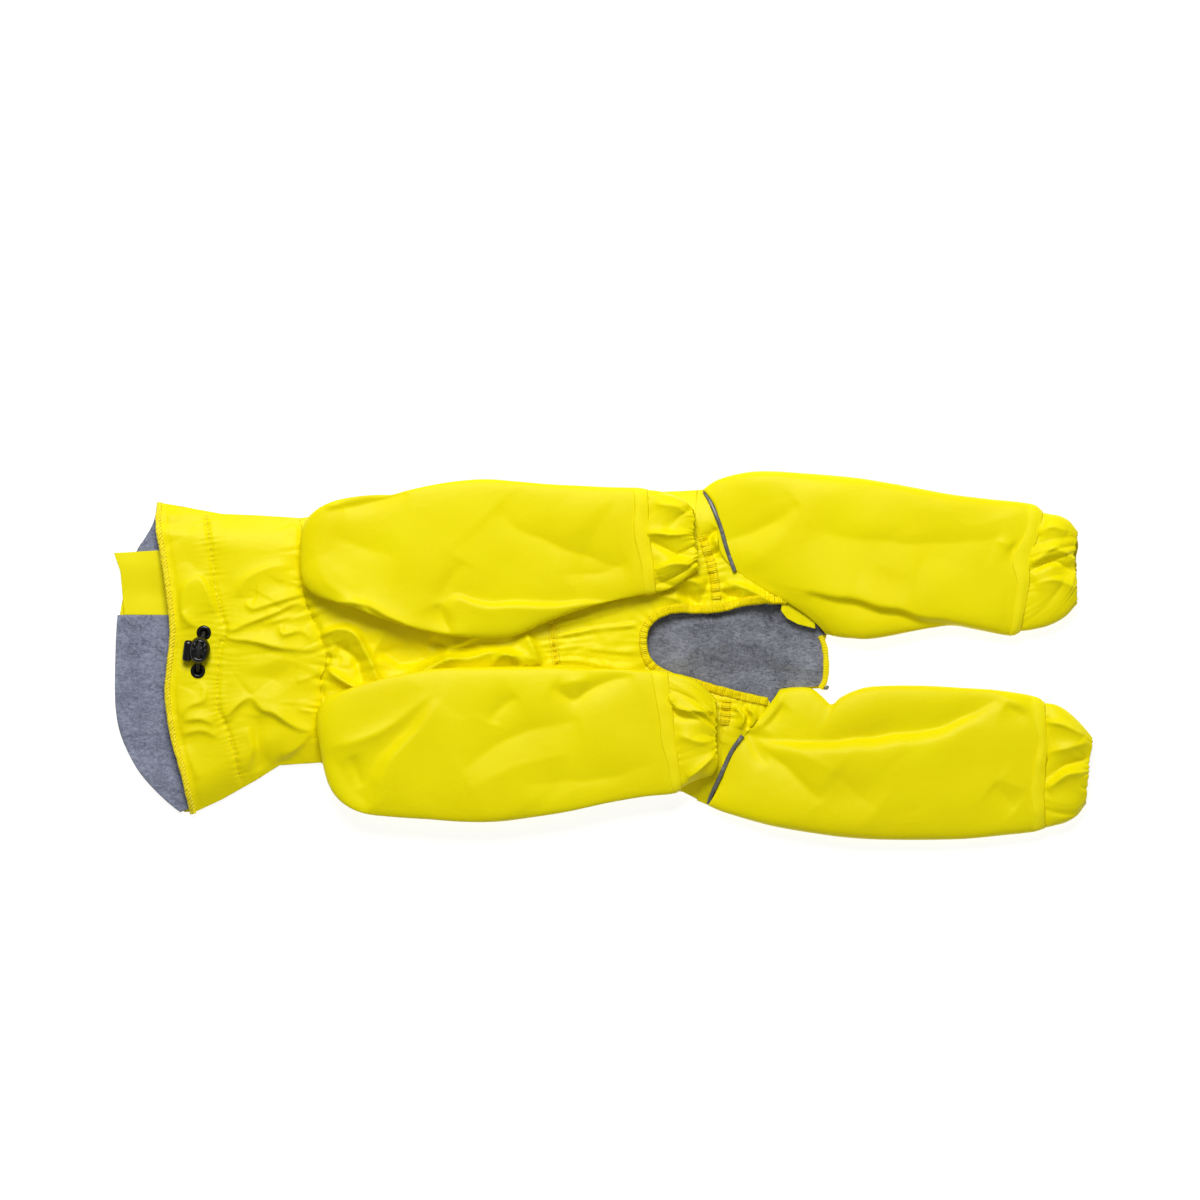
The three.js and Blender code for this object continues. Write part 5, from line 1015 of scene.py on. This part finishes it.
def lyingRings(rows, step, around, relief, bends=()):
    rows = softLine(rows, step)
    rings = []
    for at, (x, skew, outer, inner, base, top) in enumerate(rows):
        half = (outer - inner) / 2
        halfHeight = (top - base) * 0.58
        side, up = sectionOf(abs(half), halfHeight, around, 0.5)
        y = (outer + inner) / 2 + side * half
        share = at / (len(rows) - 1)
        px = x + side * skew / 2 + pinched(y, up, bends) * (1 - 0.6 * share)
        lift, out = relief(px, y, up, share)
        px = px + 0.9 * share * out
        z = base + (top - base) * 0.42 + up * (halfHeight + out * (up > 0)) + lift * smoothstep(0.1, 0.9, up)
        rings.append(np.stack([px, y + side * out * 0.5, np.maximum(base, z)], 1))
    return np.array(rings)


def gatheredCuff(folds, seed):
    def relief(x, y, up, share):
        turn = np.arange(len(x)) / len(x) * 2 * math.pi
        phase = turn * cuffLook["waves"] / 2 + 2.2 * np.sin(2 * turn + seed + 1.5 * share) + 1.3 * np.sin(3 * turn + 2.3 * seed + 2.4 * share)
        large = np.abs(np.sin(phase)) ** 0.8 - 0.6
        small = np.abs(np.sin(phase * 3.1 + 2 * np.sin(5 * turn + seed))) - 0.6
        grown = 0.3 + 0.7 * smoothstep(0, 0.35, share)
        near = math.exp(-share / 0.12) + math.exp(-(1 - share) / 0.16)
        out = cuffLook["depth"] * grown * (0.65 + 0.35 * np.sin(turn * 3 + seed)) * large + cuffLook["pucker"] * (0.1 + near) * small
        return foldRelief(x, y, folds, 2.0), out

    return relief


def buildCuffs(legPieces):
    for seed, (node, rows) in enumerate(cuffs.items()):
        rows = [(rows[0][0] - 2.5, *rows[0][1:5], rows[0][5] - 0.4), *rows]
        bends = seamBends[node.replace("_cuff", "")]
        rings = lyingRings(rows, 1.1, cuffLook["around"], gatheredCuff(cuffFolds[node], 1.7 * seed), bends)
        name = node.replace("_", " ").title().replace(" ", "")
        name = name[0].lower() + name[1:]
        piece = makePiece(wrapTube(rings, 200, 32), name, legNylon, [node], 0.7)
    for seed, (node, rows) in enumerate(tapes.items()):
        wavy = lambda x, y, up, share: (0.5 * ripple(x, y, 22, 200 + seed), 0 * y + 0.1)
        rings = lyingRings(rows, 1.1, 170, wavy, seamBends[node.replace("_tape", "")])
        name = node.replace("_", " ").title().replace(" ", "")
        strip = makePiece(wrapTube(rings, 200, 9), name[0].lower() + name[1:], tapeNylon, [node], 0.7)
        leg = strip.name.replace("Tape", "Leg")
        cut = legs[leg][5]
        cut[0] * cut[1] * 0.8
    print("cuffs made")


buildLock()
buildTrims(*buildBody())
buildCollar()
buildCuffs(buildLegs())


floorForm = bmesh.new()
bmesh.ops.create_grid(floorForm, x_segments=1, y_segments=1, size=6)
floorMesh = bpy.data.meshes.new("floor")
floorForm.to_mesh(floorMesh)
floorForm.free()
floor = bpy.data.objects.new("floor", floorMesh)
floor.location.z = -0.0004
bpy.context.scene.collection.objects.link(floor)
floorPaint = Finish("paleFloor", Roughness=0.9)
floorPaint.shader.inputs["Base Color"].default_value = (0.35, 0.35, 0.35, 1)
floorPaint.shader.inputs["Emission Color"].default_value = (1, 1, 1, 1)
floorPaint.shader.inputs["Emission Strength"].default_value = 0.85
floorMesh.materials.append(floorPaint.material)

lamps = {
    "windowLamp": ((-0.15, 1.3, 1.75), 0.9, 40.5),
    "fillLamp": ((0.9, -1.2, 2.0), 1.6, 2.6),
}
for name, (place, size, power) in lamps.items():
    lamp = bpy.data.lights.new(name, "AREA")
    lamp.shape, lamp.size, lamp.energy = "SQUARE", size, power
    holder = bpy.data.objects.new(name, lamp)
    holder.location = place
    holder.rotation_euler = (-Vector(place)).to_track_quat("-Z", "Y").to_euler()
    bpy.context.scene.collection.objects.link(holder)
world = bpy.data.worlds.new("softRoom")
bpy.context.scene.world = world
world.use_nodes = True
world.node_tree.nodes["Background"].inputs["Color"].default_value = (1, 1, 1, 1)
world.node_tree.nodes["Background"].inputs["Strength"].default_value = 0.2
bpy.context.scene.view_settings.view_transform = "Standard"
print("light set")
